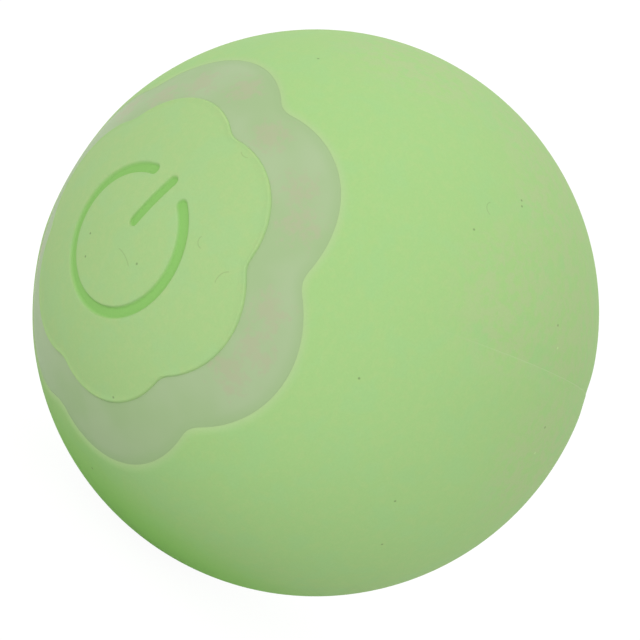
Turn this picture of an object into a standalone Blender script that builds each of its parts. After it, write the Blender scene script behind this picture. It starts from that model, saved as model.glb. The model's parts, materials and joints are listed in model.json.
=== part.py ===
"""Self rolling cat ball: a rigid shell in a silicone sleeve, with a motor pod that swings inside it.

The ball rolls on the world Y axis. The button faces -Y and the charging port +Y. A heavy pod hangs
from two bearings on that axis, and its motor climbs an internal ring gear fixed in the rear shell.

Every piece is drawn in the plan frame, seen from the button's side: x to the right, y up, and z from
the ball's centre towards the button. One empty turns that frame so that its z is the world's -Y.
"""

import math

import bmesh
import bpy
from mathutils import Matrix

# Driving sizes of the ball, in metres
BALL_DIAMETER = 0.0430
COVER_THICKNESS = 0.0012
SHELL_WALL = 0.0015
SEAT_GAP = 0.0003
RUNNING_GAP = 0.0004
OVERRUN = 0.0006
WELD = 0.0000001

# The six-lobed window in the sleeve, the translucent ring in it, and the pad
LOBES = 6
WINDOW_LOBE_OFFSET = 0.0070
WINDOW_LOBE_RADIUS = 0.0088
WINDOW_BEVEL_WIDTH = 0.0007
WINDOW_BEVEL_DEPTH = 0.00015
LENS_SINK = 0.00012
LENS_FLANGE_WIDTH = 0.0009
PAD_LOBE_OFFSET = 0.0050
PAD_LOBE_RADIUS = 0.0068
PAD_THICKNESS = 0.0012
PAD_BEVEL = 0.00012

# The power symbol engraved in the pad
SYMBOL_DEPTH = 0.00025
SYMBOL_STROKE = 0.0009
SYMBOL_RING_RADIUS = 0.00562
SYMBOL_RING_START = 109.3
SYMBOL_RING_SWEEP = 321.4
SYMBOL_BAR_BOTTOM = 0.00115
SYMBOL_BAR_TOP = 0.00615

# The button's plate and stem, and the switch that it presses
BUTTON_TRAVEL = 0.0005
CAP_THICKNESS = 0.0008
CAP_RADIUS = 0.0090
STEM_RADIUS = 0.0015
STEM_NECK_RADIUS = 0.0009
STEM_FOOT = 0.0004
CLIP_RADIUS = 0.0023
CLIP_THICKNESS = 0.0005
CLIP_OPENING = 70.0
SWITCH_WIDTH = 0.0060
SWITCH_HEIGHT = 0.0017
SWITCH_TRAVEL = 0.00025
PLUNGER_RADIUS = 0.0016
PLUNGER_RISE = 0.0006
PLUNGER_LENGTH = 0.0015

# The front bearing
SPIGOT_RADIUS = 0.0030
BUSH_WALL = 0.0008
FRONT_BUSH_LENGTH = 0.0018
BRACKET_RING_WALL = 0.0012
BRACKET_THICKNESS = 0.0010
BRACKET_HALF_WIDTH = 0.0058
BRACKET_FOOT_THICKNESS = 0.0012

# The boards and what is on them
BOARD_RADIUS = 0.0125
BOARD_THICKNESS = 0.0010
LED_WIDTH = 0.0020
LED_DEPTH = 0.0014
LED_HEIGHT = 0.0008
LED_CIRCLE_RADIUS = 0.0108
LED_ANGLES = (90.0, 230.0, 310.0)
CHIP_WIDTH = 0.0040
CHIP_HEIGHT = 0.0009
CHIP_OFFSET = 0.0063
CHARGE_CHIP_WIDTH = 0.0026

# Motor, battery and weight
MOTOR_DIAMETER = 0.0120
MOTOR_FLAT_DEPTH = 0.0010
MOTOR_LENGTH = 0.0080
MOTOR_CAP_LENGTH = 0.0013
MOTOR_DROP = 0.0030
MOTOR_BOSS_RADIUS = 0.0020
MOTOR_BOSS_LENGTH = 0.0008
MOTOR_SHAFT_RADIUS = 0.0005
MOTOR_SHAFT_DEPTH = 0.0050
BATTERY_WIDTH = 0.0200
BATTERY_HEIGHT = 0.0060
BATTERY_LENGTH = 0.0092
BATTERY_EDGE = 0.0010
WEIGHT_RADIUS = 0.0152
WEIGHT_THICKNESS = 0.0092
WEIGHT_EDGE = 0.0004

# The pod's frame
FRAME_RIM = 0.0037
FRAME_THICKNESS = 0.0012
FRAME_WALL = 0.0008
CRADLE_HEIGHT = 0.0078
BOARD_POST_RADIUS = 0.0014
BOARD_CLEARANCE = 0.0006
GEAR_POST_RADIUS = 0.0013
GEAR_POST_ANGLES = (100.0, 190.0, 280.0)
SCREW_HEAD_RADIUS = 0.0010
SCREW_HEAD_HEIGHT = 0.0007
SCREW_RADIUS = 0.0005
SCREW_GRIP = 0.0024

# The gear train
MOTOR_MODULE = 0.0004
PINION_TEETH = 10
FIRST_WHEEL_TEETH = 26
FIRST_PINION_TEETH = 10
SECOND_WHEEL_TEETH = 24
SECOND_PINION_TEETH = 12
RING_TEETH = 48
PRESSURE_ANGLE = 20.0
ADDENDUM_SHARE = 0.95
DEDENDUM_SHARE = 1.25
SHIFT_SHARE = 0.40
TOOTH_THINNING = 0.00006
RING_THINNING = 0.00010
FIRST_AXLE_ANGLE = 13.6
FIRST_GEAR_HEIGHT = 0.0014
SECOND_GEAR_HEIGHT = 0.0014
RING_GEAR_HEIGHT = 0.0020
RING_WALL = 0.0017
SECOND_HUB_LENGTH = 0.0010
HUB_RADIUS = 0.0016
AXLE_RADIUS = 0.0005
RING_LEDGE_WIDTH = 0.0006
RING_LEDGE_THICKNESS = 0.0012

# The rear bearing, the charging port and its plug
GEAR_COVER_THICKNESS = 0.0010
TRUNNION_BORE_RADIUS = 0.0049
TRUNNION_WALL = 0.0008
COLLAR_WIDTH = 0.0018
COLLAR_LENGTH = 0.0014
REAR_BUSH_LENGTH = 0.0021
PORT_LIP = 0.0007
BOSS_WALL = 0.0012
USB_WIDTH = 0.00894
USB_HEIGHT = 0.00326
USB_WALL = 0.0004
USB_BACK = 0.0008
TONGUE_WIDTH = 0.0062
TONGUE_HEIGHT = 0.0007
TONGUE_INSET = 0.0008
USB_BOARD_WIDTH = 0.0122
USB_BOARD_HEIGHT = 0.0052
USB_BOARD_SHIFT = 0.0015
PLUG_FLANGE_WIDTH = 0.0015
PLUG_CUP_WALL = 0.0011
NAIL_DIP_DEPTH = 0.00045
NAIL_DIP_REACH = 0.0019
NAIL_DIP_ANGLE = math.radians(270.0)
PORT_CLEARANCE = 0.0003

# The lap joint where the two shells meet
LAP_HEIGHT = 0.0015

# Counts of flat steps round each form
COVER_STEPS = 48
SHELL_STEPS = 28
BUSH_STEPS = 24
PIN_STEPS = 12
SMOOTH_LIMIT = math.radians(38.0)

# Worked out from the sizes above
BALL_RADIUS = BALL_DIAMETER / 2
COVER_INNER_RADIUS = BALL_RADIUS - COVER_THICKNESS
SHELL_RADIUS = COVER_INNER_RADIUS - SEAT_GAP
SHELL_INNER_RADIUS = SHELL_RADIUS - SHELL_WALL
LENS_RADIUS = BALL_RADIUS - LENS_SINK
PAD_INNER_RADIUS = BALL_RADIUS - PAD_THICKNESS
CAP_TOP_RADIUS = PAD_INNER_RADIUS - SEAT_GAP
CAP_BOTTOM_RADIUS = CAP_TOP_RADIUS - CAP_THICKNESS
RECESS_RADIUS = CAP_BOTTOM_RADIUS - BUTTON_TRAVEL - SEAT_GAP
RECESS_INNER_RADIUS = RECESS_RADIUS - SHELL_WALL
STEM_BORE_RADIUS = STEM_RADIUS + SEAT_GAP

WINDOW_PEAK = math.asin((WINDOW_LOBE_OFFSET + WINDOW_LOBE_RADIUS) / BALL_RADIUS)
FLANGE_POLAR = WINDOW_PEAK + LENS_FLANGE_WIDTH / SHELL_RADIUS
RECESS_POLAR = FLANGE_POLAR + SEAT_GAP / RECESS_RADIUS
RECESS_INNER_POLAR = RECESS_POLAR + SHELL_WALL / RECESS_INNER_RADIUS

# Heights along the roll axis, from the front bearing to the gears
BUSH_RADIUS = SPIGOT_RADIUS + SEAT_GAP + BUSH_WALL
BRACKET_BORE_RADIUS = BUSH_RADIUS + SEAT_GAP
BRACKET_RING_RADIUS = BRACKET_BORE_RADIUS + BRACKET_RING_WALL
BRACKET_RING_TOP = math.sqrt((RECESS_INNER_RADIUS - RUNNING_GAP) ** 2 - BRACKET_RING_RADIUS**2)
FRONT_BUSH_BOTTOM = BRACKET_RING_TOP - FRONT_BUSH_LENGTH
BRACKET_TOP = FRONT_BUSH_BOTTOM - SEAT_GAP
BRACKET_BOTTOM = BRACKET_TOP - BRACKET_THICKNESS
SPIGOT_END = BRACKET_BOTTOM + SEAT_GAP
CLIP_TOP = SPIGOT_END - SEAT_GAP
CLIP_BOTTOM = CLIP_TOP - CLIP_THICKNESS
STEM_END = CLIP_BOTTOM - SEAT_GAP - STEM_FOOT
PLUNGER_TOP = STEM_END - SEAT_GAP
SWITCH_TOP = PLUNGER_TOP - PLUNGER_RISE
SWITCH_BOTTOM = SWITCH_TOP - SWITCH_HEIGHT
BOARD_TOP = SWITCH_BOTTOM - SEAT_GAP
BOARD_BOTTOM = BOARD_TOP - BOARD_THICKNESS
POST_TOP = BOARD_BOTTOM - SEAT_GAP
MOTOR_BACK = BOARD_BOTTOM - BOARD_CLEARANCE - MOTOR_CAP_LENGTH - SEAT_GAP
MOTOR_FRONT = MOTOR_BACK - MOTOR_LENGTH
FRAME_TOP = MOTOR_FRONT - SEAT_GAP
FRAME_BOTTOM = FRAME_TOP - FRAME_THICKNESS
FIRST_WHEEL_TOP = FRAME_BOTTOM - RUNNING_GAP
FIRST_WHEEL_BOTTOM = FIRST_WHEEL_TOP - FIRST_GEAR_HEIGHT
SECOND_WHEEL_TOP = FIRST_WHEEL_BOTTOM - RUNNING_GAP
SECOND_WHEEL_BOTTOM = SECOND_WHEEL_TOP - SECOND_GEAR_HEIGHT
RING_TOP = SECOND_WHEEL_BOTTOM - SECOND_HUB_LENGTH
RING_BOTTOM = RING_TOP - RING_GEAR_HEIGHT
LEDGE_TOP = RING_BOTTOM - SEAT_GAP
LEDGE_BOTTOM = LEDGE_TOP - RING_LEDGE_THICKNESS
GEAR_COVER_TOP = RING_BOTTOM - RUNNING_GAP
GEAR_COVER_BOTTOM = GEAR_COVER_TOP - GEAR_COVER_THICKNESS
COLLAR_END = GEAR_COVER_BOTTOM - COLLAR_LENGTH
BOSS_END = COLLAR_END - RUNNING_GAP
REAR_BUSH_TOP = BOSS_END - SEAT_GAP
REAR_BUSH_BOTTOM = REAR_BUSH_TOP - REAR_BUSH_LENGTH
PORT_SHOULDER = REAR_BUSH_BOTTOM - SEAT_GAP
USB_MOUTH = PORT_SHOULDER - PORT_CLEARANCE
PLUG_STEM_END = USB_MOUTH - 2 * PORT_CLEARANCE

TRUNNION_RADIUS = TRUNNION_BORE_RADIUS + TRUNNION_WALL
REAR_BUSH_RADIUS = TRUNNION_RADIUS + SEAT_GAP + BUSH_WALL
REAR_BORE_RADIUS = REAR_BUSH_RADIUS + SEAT_GAP
PORT_HOLE_RADIUS = REAR_BORE_RADIUS - PORT_LIP
BOSS_RADIUS = REAR_BORE_RADIUS + BOSS_WALL
PLUG_STEM_RADIUS = PORT_HOLE_RADIUS - SEAT_GAP
PLUG_RADIUS = PLUG_STEM_RADIUS + PLUG_FLANGE_WIDTH
COVER_HOLE_RADIUS = PLUG_RADIUS + SEAT_GAP

# Places across the pod
MOTOR_Y = -MOTOR_DROP
MOTOR_FLATS = MOTOR_DIAMETER - 2 * MOTOR_FLAT_DEPTH
MOTOR_HOLE_RADIUS = MOTOR_BOSS_RADIUS + SEAT_GAP
CRADLE_HALF_WIDTH = MOTOR_DIAMETER / 2 + SEAT_GAP
CRADLE_FLOOR = MOTOR_Y - MOTOR_FLATS / 2
SHELF_BOTTOM = MOTOR_Y + MOTOR_FLATS / 2 + SEAT_GAP
SHELF_TOP = SHELF_BOTTOM + FRAME_WALL
BATTERY_BOTTOM = SHELF_TOP + SEAT_GAP
BATTERY_TOP = BATTERY_BOTTOM + BATTERY_HEIGHT
TRAY_HALF_WIDTH = BATTERY_WIDTH / 2 + SEAT_GAP
BOARD_POST_X = CRADLE_HALF_WIDTH + FRAME_WALL / 2 + BOARD_POST_RADIUS
WEIGHT_TOP = CRADLE_FLOOR - SEAT_GAP - FRAME_WALL
SCREW_HOLE_RADIUS = SCREW_RADIUS + SEAT_GAP
AXLE_HOLE_RADIUS = AXLE_RADIUS + SEAT_GAP

# The ring gear's teeth, which fill the rear shell behind a wall, and the two gear axles
RING_ROOT_RADIUS = math.sqrt((SHELL_INNER_RADIUS - SEAT_GAP) ** 2 - RING_BOTTOM**2) - RING_WALL
RING_MODULE = RING_ROOT_RADIUS / (RING_TEETH / 2 + DEDENDUM_SHARE + SHIFT_SHARE)
RING_PITCH_RADIUS = RING_MODULE * RING_TEETH / 2
RING_TIP_RADIUS = RING_PITCH_RADIUS - RING_MODULE * (ADDENDUM_SHARE - SHIFT_SHARE)
SECOND_AXLE_RADIUS = RING_PITCH_RADIUS - RING_MODULE * SECOND_PINION_TEETH / 2
FIRST_CENTRES = MOTOR_MODULE * (PINION_TEETH + FIRST_WHEEL_TEETH) / 2
SECOND_CENTRES = MOTOR_MODULE * (FIRST_PINION_TEETH + SECOND_WHEEL_TEETH) / 2
GEAR_COVER_RADIUS = RING_TIP_RADIUS - RUNNING_GAP
GEAR_POST_CIRCLE_RADIUS = GEAR_COVER_RADIUS - RUNNING_GAP - GEAR_POST_RADIUS
FRAME_RADIUS = GEAR_POST_CIRCLE_RADIUS + GEAR_POST_RADIUS + FRAME_RIM


def polar_point(radius, degrees, centre=(0, 0)):
    """Point of the plan at this radius and angle from a centre."""
    angle = math.radians(degrees)
    return (centre[0] + radius * math.cos(angle), centre[1] + radius * math.sin(angle))


def meeting_point(centre_a, radius_a, centre_b, radius_b):
    """The crossing of two circles on the left of the way from a to b."""
    across = (centre_b[0] - centre_a[0], centre_b[1] - centre_a[1])
    length = math.hypot(*across)
    along = (length**2 + radius_a**2 - radius_b**2) / (2 * length)
    aside = math.sqrt(radius_a**2 - along**2)
    unit = (across[0] / length, across[1] / length)
    return (
        centre_a[0] + along * unit[0] - aside * unit[1],
        centre_a[1] + along * unit[1] + aside * unit[0],
    )


MOTOR_AXIS = (0, MOTOR_Y)
FIRST_AXIS = polar_point(FIRST_CENTRES, FIRST_AXLE_ANGLE, MOTOR_AXIS)
SECOND_AXIS = meeting_point((0, 0), SECOND_AXLE_RADIUS, FIRST_AXIS, SECOND_CENTRES)


def direction(start, end):
    """Angle in degrees of the way from one plan point to another."""
    return math.degrees(math.atan2(end[1] - start[1], end[0] - start[0]))


def on_sphere(sphere_radius, radius):
    """Height of a sphere above the plan, this far from the axis."""
    return math.sqrt(sphere_radius**2 - radius**2)


def sphere_arc(sphere_radius, start, end, steps):
    """(radius, height) points along a sphere's profile between two angles from the button's pole."""
    points = []
    for step in range(steps + 1):
        polar = start + (end - start) * step / steps
        points.append((sphere_radius * math.sin(polar), sphere_radius * math.cos(polar)))
    return points


def front_polar(sphere_radius, radius):
    """Angle from the button's pole where a sphere has this radius, on the button's side."""
    return math.asin(radius / sphere_radius)


def rear_polar(sphere_radius, radius):
    """The same on the port's side."""
    return math.pi - front_polar(sphere_radius, radius)


def height_polar(sphere_radius, height):
    """Angle from the button's pole where a sphere has this height."""
    return math.acos(height / sphere_radius)


def lobed_radius(offset, lobe_radius, angle):
    """Outline of overlapping circles round the axis, notches rounded, at this angle in radians."""
    spacing = 2 * math.pi / LOBES
    blend_share = 0.12
    from_lobe = abs((angle + spacing / 2) % spacing - spacing / 2)
    blend_start = spacing / 2 * (1 - blend_share)

    def circle(turn):
        return offset * math.cos(turn) + math.sqrt(lobe_radius**2 - (offset * math.sin(turn)) ** 2)

    if from_lobe <= blend_start:
        return circle(from_lobe)
    nudge = blend_start / 1000
    slope = (circle(blend_start) - circle(blend_start - nudge)) / nudge
    into = from_lobe - blend_start
    span = spacing / 2 - blend_start
    return circle(blend_start) + slope * (into - into**2 / (2 * span))


def window_polar(angle):
    """Angle from the button's pole to the edge of the sleeve's window."""
    return math.asin(lobed_radius(WINDOW_LOBE_OFFSET, WINDOW_LOBE_RADIUS, angle) / BALL_RADIUS)


def pad_radius(angle):
    """Distance from the axis to the pad's edge."""
    return lobed_radius(PAD_LOBE_OFFSET, PAD_LOBE_RADIUS, angle)


def material(name, colour, roughness, metallic=0.0, alpha=1.0):
    """A Principled BSDF finish, made once for each name."""
    if name in bpy.data.materials:
        return bpy.data.materials[name]
    made = bpy.data.materials.new(name)
    made.use_nodes = True
    shader = made.node_tree.nodes["Principled BSDF"]
    shader.inputs["Base Color"].default_value = (*colour, 1.0)
    shader.inputs["Roughness"].default_value = roughness
    shader.inputs["Metallic"].default_value = metallic
    shader.inputs["Alpha"].default_value = alpha
    made.diffuse_color = (*colour, alpha)
    return made


def silicone():
    return material("green_silicone", (0.41, 0.66, 0.28), 0.60)


def lens_plastic():
    return material("milky_plastic", (0.46, 0.54, 0.36), 0.35, alpha=0.85)


def shell_plastic():
    return material("white_plastic", (0.80, 0.82, 0.78), 0.40)


def frame_plastic():
    return material("black_plastic", (0.03, 0.03, 0.035), 0.45)


def gear_plastic():
    return material("gear_nylon", (0.82, 0.80, 0.72), 0.40)


def steel():
    return material("steel", (0.60, 0.60, 0.62), 0.30, metallic=1.0)


def bronze():
    return material("bronze", (0.65, 0.45, 0.25), 0.35, metallic=1.0)


def zinc():
    return material("zinc", (0.45, 0.45, 0.46), 0.50, metallic=1.0)


def board_laminate():
    return material("board_laminate", (0.02, 0.18, 0.07), 0.45)


def chip_resin():
    return material("chip_resin", (0.02, 0.02, 0.02), 0.50)


def battery_foil():
    return material("battery_foil", (0.70, 0.71, 0.73), 0.35, metallic=0.8)


def led_resin():
    return material("led_resin", (0.90, 0.88, 0.70), 0.25)


def clear_scene():
    for obj in list(bpy.data.objects):
        bpy.data.objects.remove(obj, do_unlink=True)


def empty(name, parent=None, place=(0, 0, 0)):
    """A joint's axis, or the frame that pieces hang from."""
    made = bpy.data.objects.new(name, None)
    bpy.context.scene.collection.objects.link(made)
    made.parent = parent
    made.location = place
    return made


def finished_mesh(name, form):
    """Turns a bmesh into a mesh with its faces pointing out and its round sides smooth."""
    bmesh.ops.remove_doubles(form, verts=form.verts, dist=WELD)
    bmesh.ops.recalc_face_normals(form, faces=form.faces)
    mesh = bpy.data.meshes.new(name)
    form.to_mesh(mesh)
    form.free()
    mesh.shade_smooth()
    mesh.set_sharp_from_angle(angle=SMOOTH_LIMIT)
    return mesh


def piece(name, form, finish, parent, place=(0, 0, 0)):
    """A named sub-part that hangs from its body's empty."""
    made = bpy.data.objects.new(name, finished_mesh(name, form))
    bpy.context.scene.collection.objects.link(made)
    made.data.materials.append(finish)
    made.parent = parent
    made.location = place
    return made


def combine(target, form, operation):
    """Adds a form to a piece, or cuts it out, with a helper that isn't rendered."""
    number = len(target.modifiers) + 1
    helper = bpy.data.objects.new(
        f"{target.name}_helper_{number}", finished_mesh(f"{target.name}_helper_{number}", form)
    )
    bpy.context.scene.collection.objects.link(helper)
    helper.parent = target
    helper.hide_render = True
    helper.display_type = "WIRE"
    change = target.modifiers.new(f"{operation.lower()}_{number}", "BOOLEAN")
    change.operation = operation
    change.object = helper


def lathe(profile, steps, closed=True):
    """Spins a (radius, height) profile round the axis. An open profile starts and ends on the axis."""
    form = bmesh.new()
    corners = [form.verts.new((radius, 0, height)) for radius, height in profile]
    edges = [form.edges.new(pair) for pair in zip(corners, corners[1:])]
    if closed:
        edges.append(form.edges.new((corners[-1], corners[0])))
    bmesh.ops.spin(
        form,
        geom=corners + edges,
        cent=(0, 0, 0),
        axis=(0, 0, 1),
        angle=2 * math.pi,
        steps=steps,
        use_merge=True,
    )
    bmesh.ops.remove_doubles(form, verts=form.verts, dist=WELD)
    return form


def loft(section, steps, closed=True):
    """Skins profiles that change round the axis: section(angle) gives (radius, height) points."""
    form = bmesh.new()
    rows = []
    for step in range(steps):
        angle = 2 * math.pi * step / steps
        rows.append(
            [
                form.verts.new((radius * math.cos(angle), radius * math.sin(angle), height))
                for radius, height in section(angle)
            ]
        )
    last = len(rows[0]) if closed else len(rows[0]) - 1
    for row, following in zip(rows, rows[1:] + rows[:1]):
        for index in range(last):
            ahead = (index + 1) % len(row)
            form.faces.new((row[index], following[index], following[ahead], row[ahead]))
    return form


def prism(outline, bottom, top):
    """Extrudes a closed plan outline between two heights."""
    form = bmesh.new()
    face = form.faces.new([form.verts.new((x, y, bottom)) for x, y in outline])
    raised = bmesh.ops.extrude_face_region(form, geom=[face])["geom"]
    moved = [item for item in raised if isinstance(item, bmesh.types.BMVert)]
    bmesh.ops.translate(form, verts=moved, vec=(0, 0, top - bottom))
    return form


def joined(forms):
    """Several closed forms that don't touch, as one bmesh."""
    whole = bmesh.new()
    for form in forms:
        mesh = bpy.data.meshes.new("joined")
        form.to_mesh(mesh)
        form.free()
        whole.from_mesh(mesh)
        bpy.data.meshes.remove(mesh)
    return whole


def circle_outline(radius, steps, centre=(0, 0), start=0.0, sweep=360.0):
    """Points of an arc, in degrees. A full circle doesn't repeat its first point."""
    count = steps if sweep == 360.0 else steps + 1
    return [polar_point(radius, start + sweep * step / steps, centre) for step in range(count)]


def rectangle_outline(width, height, corner=0, centre=(0, 0), corner_steps=3):
    """A rectangle, with rounded corners where a corner radius is given."""
    if not corner:
        signs = ((1, 1), (-1, 1), (-1, -1), (1, -1))
        return [(centre[0] + a * width / 2, centre[1] + b * height / 2) for a, b in signs]
    points = []
    for quarter, (a, b) in enumerate(((1, 1), (-1, 1), (-1, -1), (1, -1))):
        middle = (centre[0] + a * (width / 2 - corner), centre[1] + b * (height / 2 - corner))
        points += circle_outline(corner, corner_steps, middle, 90.0 * quarter, 90.0)
    return points


def holes(radius, places, bottom, top):
    """Round cutters at these plan points."""
    outlines = [circle_outline(radius, PIN_STEPS, place) for place in places]
    return joined([prism(outline, bottom, top) for outline in outlines])


def bevelled(form, width, segments=2):
    """Rounds the sharp edges of a form."""
    bmesh.ops.recalc_face_normals(form, faces=form.faces)
    edges = [edge for edge in form.edges if edge.calc_face_angle(0) > SMOOTH_LIMIT]
    bmesh.ops.bevel(form, geom=edges, offset=width, segments=segments, profile=0.5, affect="EDGES")
    return form


def gear_outline(teeth, module, shift_share, thinning, first_tooth, internal=False, fine=False):
    """Involute tooth outline, with one more point on each flank where it is fine, as a small gear needs.

    An internal gear's outline is the hole, whose lobes are its tooth spaces."""
    pitch = module * teeth / 2
    pressure = math.radians(PRESSURE_ANGLE)
    base = pitch * math.cos(pressure)
    outer_share = DEDENDUM_SHARE if internal else ADDENDUM_SHARE
    inner_share = ADDENDUM_SHARE if internal else DEDENDUM_SHARE
    tip = pitch + module * (outer_share + shift_share)
    root = pitch - module * (inner_share - shift_share)

    def involute(angle):
        return math.tan(angle) - angle

    half_pitch = (math.pi / 2 + 2 * shift_share * math.tan(pressure)) / teeth
    half_pitch += (thinning if internal else -thinning) / (2 * pitch)

    def half_angle(radius):
        turned = math.acos(min(1.0, base / max(radius, base)))
        return half_pitch + involute(pressure) - involute(turned)

    radii = (root, (root + tip) / 2, tip) if fine else (root, tip)
    flank = [(radius, half_angle(radius)) for radius in radii]
    points = []
    for tooth in range(teeth):
        middle = math.radians(first_tooth) + 2 * math.pi * tooth / teeth
        for radius, half in flank:
            points.append((radius * math.cos(middle - half), radius * math.sin(middle - half)))
        for radius, half in reversed(flank):
            points.append((radius * math.cos(middle + half), radius * math.sin(middle + half)))
    return points


def screw_form(head_bottom, length, direction_sign):
    """A pan-head screw along the axis, its shank running from the head's seat."""
    rim = head_bottom + direction_sign * SCREW_HEAD_HEIGHT / 2
    crown = head_bottom + direction_sign * SCREW_HEAD_HEIGHT
    crown_share = 0.6
    return lathe(
        [
            (0, crown),
            (SCREW_HEAD_RADIUS * crown_share, crown),
            (SCREW_HEAD_RADIUS, rim),
            (SCREW_HEAD_RADIUS, head_bottom),
            (SCREW_RADIUS, head_bottom),
            (SCREW_RADIUS, head_bottom - direction_sign * length),
            (0, head_bottom - direction_sign * length),
        ],
        PIN_STEPS,
        closed=False,
    )


def silicone_cover(body):
    """The sleeve: a thin sphere with a lobed window at the button and a round hole at the port."""

    def section(angle):
        edge = window_polar(angle)
        bevel_end = edge + WINDOW_BEVEL_WIDTH / BALL_RADIUS
        bevel_middle = edge + WINDOW_BEVEL_WIDTH / 3 / BALL_RADIUS
        equator = math.pi / 2
        points = [
            (
                (BALL_RADIUS - WINDOW_BEVEL_DEPTH) * math.sin(edge),
                (BALL_RADIUS - WINDOW_BEVEL_DEPTH) * math.cos(edge),
            ),
            (
                (BALL_RADIUS - WINDOW_BEVEL_DEPTH / 3) * math.sin(bevel_middle),
                (BALL_RADIUS - WINDOW_BEVEL_DEPTH / 3) * math.cos(bevel_middle),
            ),
        ]
        points += sphere_arc(BALL_RADIUS, bevel_end, equator, 5)
        points += sphere_arc(BALL_RADIUS, equator, rear_polar(BALL_RADIUS, COVER_HOLE_RADIUS), 7)[1:]
        points += sphere_arc(COVER_INNER_RADIUS, rear_polar(COVER_INNER_RADIUS, COVER_HOLE_RADIUS), edge, 8)
        return points

    return piece("silicone_cover", loft(section, COVER_STEPS), silicone(), body)


def light_ring(body):
    """The translucent ring: a flange held under the sleeve, and a lobed face almost flush in its window."""

    def section(angle):
        inner = pad_radius(angle) + SEAT_GAP
        outer = window_polar(angle) - SEAT_GAP / LENS_RADIUS
        floor_radius = RECESS_RADIUS + SEAT_GAP
        points = sphere_arc(LENS_RADIUS, front_polar(LENS_RADIUS, inner), outer, 2)
        points += sphere_arc(SHELL_RADIUS, outer, FLANGE_POLAR, 1)
        points += sphere_arc(floor_radius, FLANGE_POLAR, front_polar(floor_radius, inner), 3)
        return points

    return piece("light_ring", loft(section, COVER_STEPS), lens_plastic(), body)


def front_shell(body):
    """Half shell with a sunk seat for the ring and the button, and the spigot that the pod turns on."""
    edge = height_polar(SHELL_RADIUS, SEAT_GAP / 2)
    rebate_top = LAP_HEIGHT + SEAT_GAP
    rebate_radius = (SHELL_RADIUS + SHELL_INNER_RADIUS + SEAT_GAP) / 2
    profile = sphere_arc(SHELL_RADIUS, edge, RECESS_POLAR, 3)
    profile += sphere_arc(RECESS_RADIUS, RECESS_POLAR, front_polar(RECESS_RADIUS, STEM_BORE_RADIUS), 4)
    profile += [(STEM_BORE_RADIUS, SPIGOT_END), (SPIGOT_RADIUS, SPIGOT_END)]
    spigot_polar = front_polar(RECESS_INNER_RADIUS, SPIGOT_RADIUS)
    profile += sphere_arc(RECESS_INNER_RADIUS, spigot_polar, RECESS_INNER_POLAR, 4)
    inside_edge = height_polar(SHELL_INNER_RADIUS, rebate_top)
    profile += sphere_arc(SHELL_INNER_RADIUS, RECESS_INNER_POLAR, inside_edge, 4)
    profile += [(rebate_radius, rebate_top), (rebate_radius, SEAT_GAP / 2)]
    return piece("front_shell", lathe(profile, SHELL_STEPS), shell_plastic(), body)


def rear_shell(body):
    """Half shell with the lap joint's lip, a ledge for the ring gear and the bored boss of the port."""
    edge = height_polar(SHELL_RADIUS, -SEAT_GAP / 2)
    lip_radius = (SHELL_RADIUS + SHELL_INNER_RADIUS - SEAT_GAP) / 2
    ledge_radius = RING_TIP_RADIUS + RING_LEDGE_WIDTH
    profile = sphere_arc(SHELL_RADIUS, edge, rear_polar(SHELL_RADIUS, PORT_HOLE_RADIUS), 6)
    profile += [
        (PORT_HOLE_RADIUS, PORT_SHOULDER),
        (REAR_BORE_RADIUS, PORT_SHOULDER),
        (REAR_BORE_RADIUS, BOSS_END),
        (BOSS_RADIUS, BOSS_END),
    ]
    boss_polar = rear_polar(SHELL_INNER_RADIUS, BOSS_RADIUS)
    profile += sphere_arc(
        SHELL_INNER_RADIUS, boss_polar, height_polar(SHELL_INNER_RADIUS, LEDGE_BOTTOM), 2
    )
    profile += [(ledge_radius, LEDGE_BOTTOM), (ledge_radius, LEDGE_TOP)]
    profile += sphere_arc(
        SHELL_INNER_RADIUS,
        height_polar(SHELL_INNER_RADIUS, LEDGE_TOP),
        height_polar(SHELL_INNER_RADIUS, LAP_HEIGHT),
        5,
    )
    profile += [(lip_radius, LAP_HEIGHT), (lip_radius, -SEAT_GAP / 2)]
    return piece("rear_shell", lathe(profile, SHELL_STEPS), shell_plastic(), body)


def ring_gear(body):
    """Internal gear bonded into the rear shell, its outside sloped to follow the shell's wall."""
    seat_radius = SHELL_INNER_RADIUS - SEAT_GAP
    top_radius = on_sphere(seat_radius, RING_TOP)
    bottom_radius = on_sphere(seat_radius, RING_BOTTOM)
    profile = [(0, RING_TOP), (top_radius, RING_TOP), (bottom_radius, RING_BOTTOM), (0, RING_BOTTOM)]
    ring = piece("ring_gear", lathe(profile, RING_TEETH, closed=False), gear_plastic(), body)
    space = gear_outline(
        RING_TEETH,
        RING_MODULE,
        SHIFT_SHARE,
        RING_THINNING,
        direction((0, 0), SECOND_AXIS),
        internal=True,
    )
    combine(ring, prism(space, RING_BOTTOM - OVERRUN, RING_TOP + OVERRUN), "DIFFERENCE")
    return ring


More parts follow.
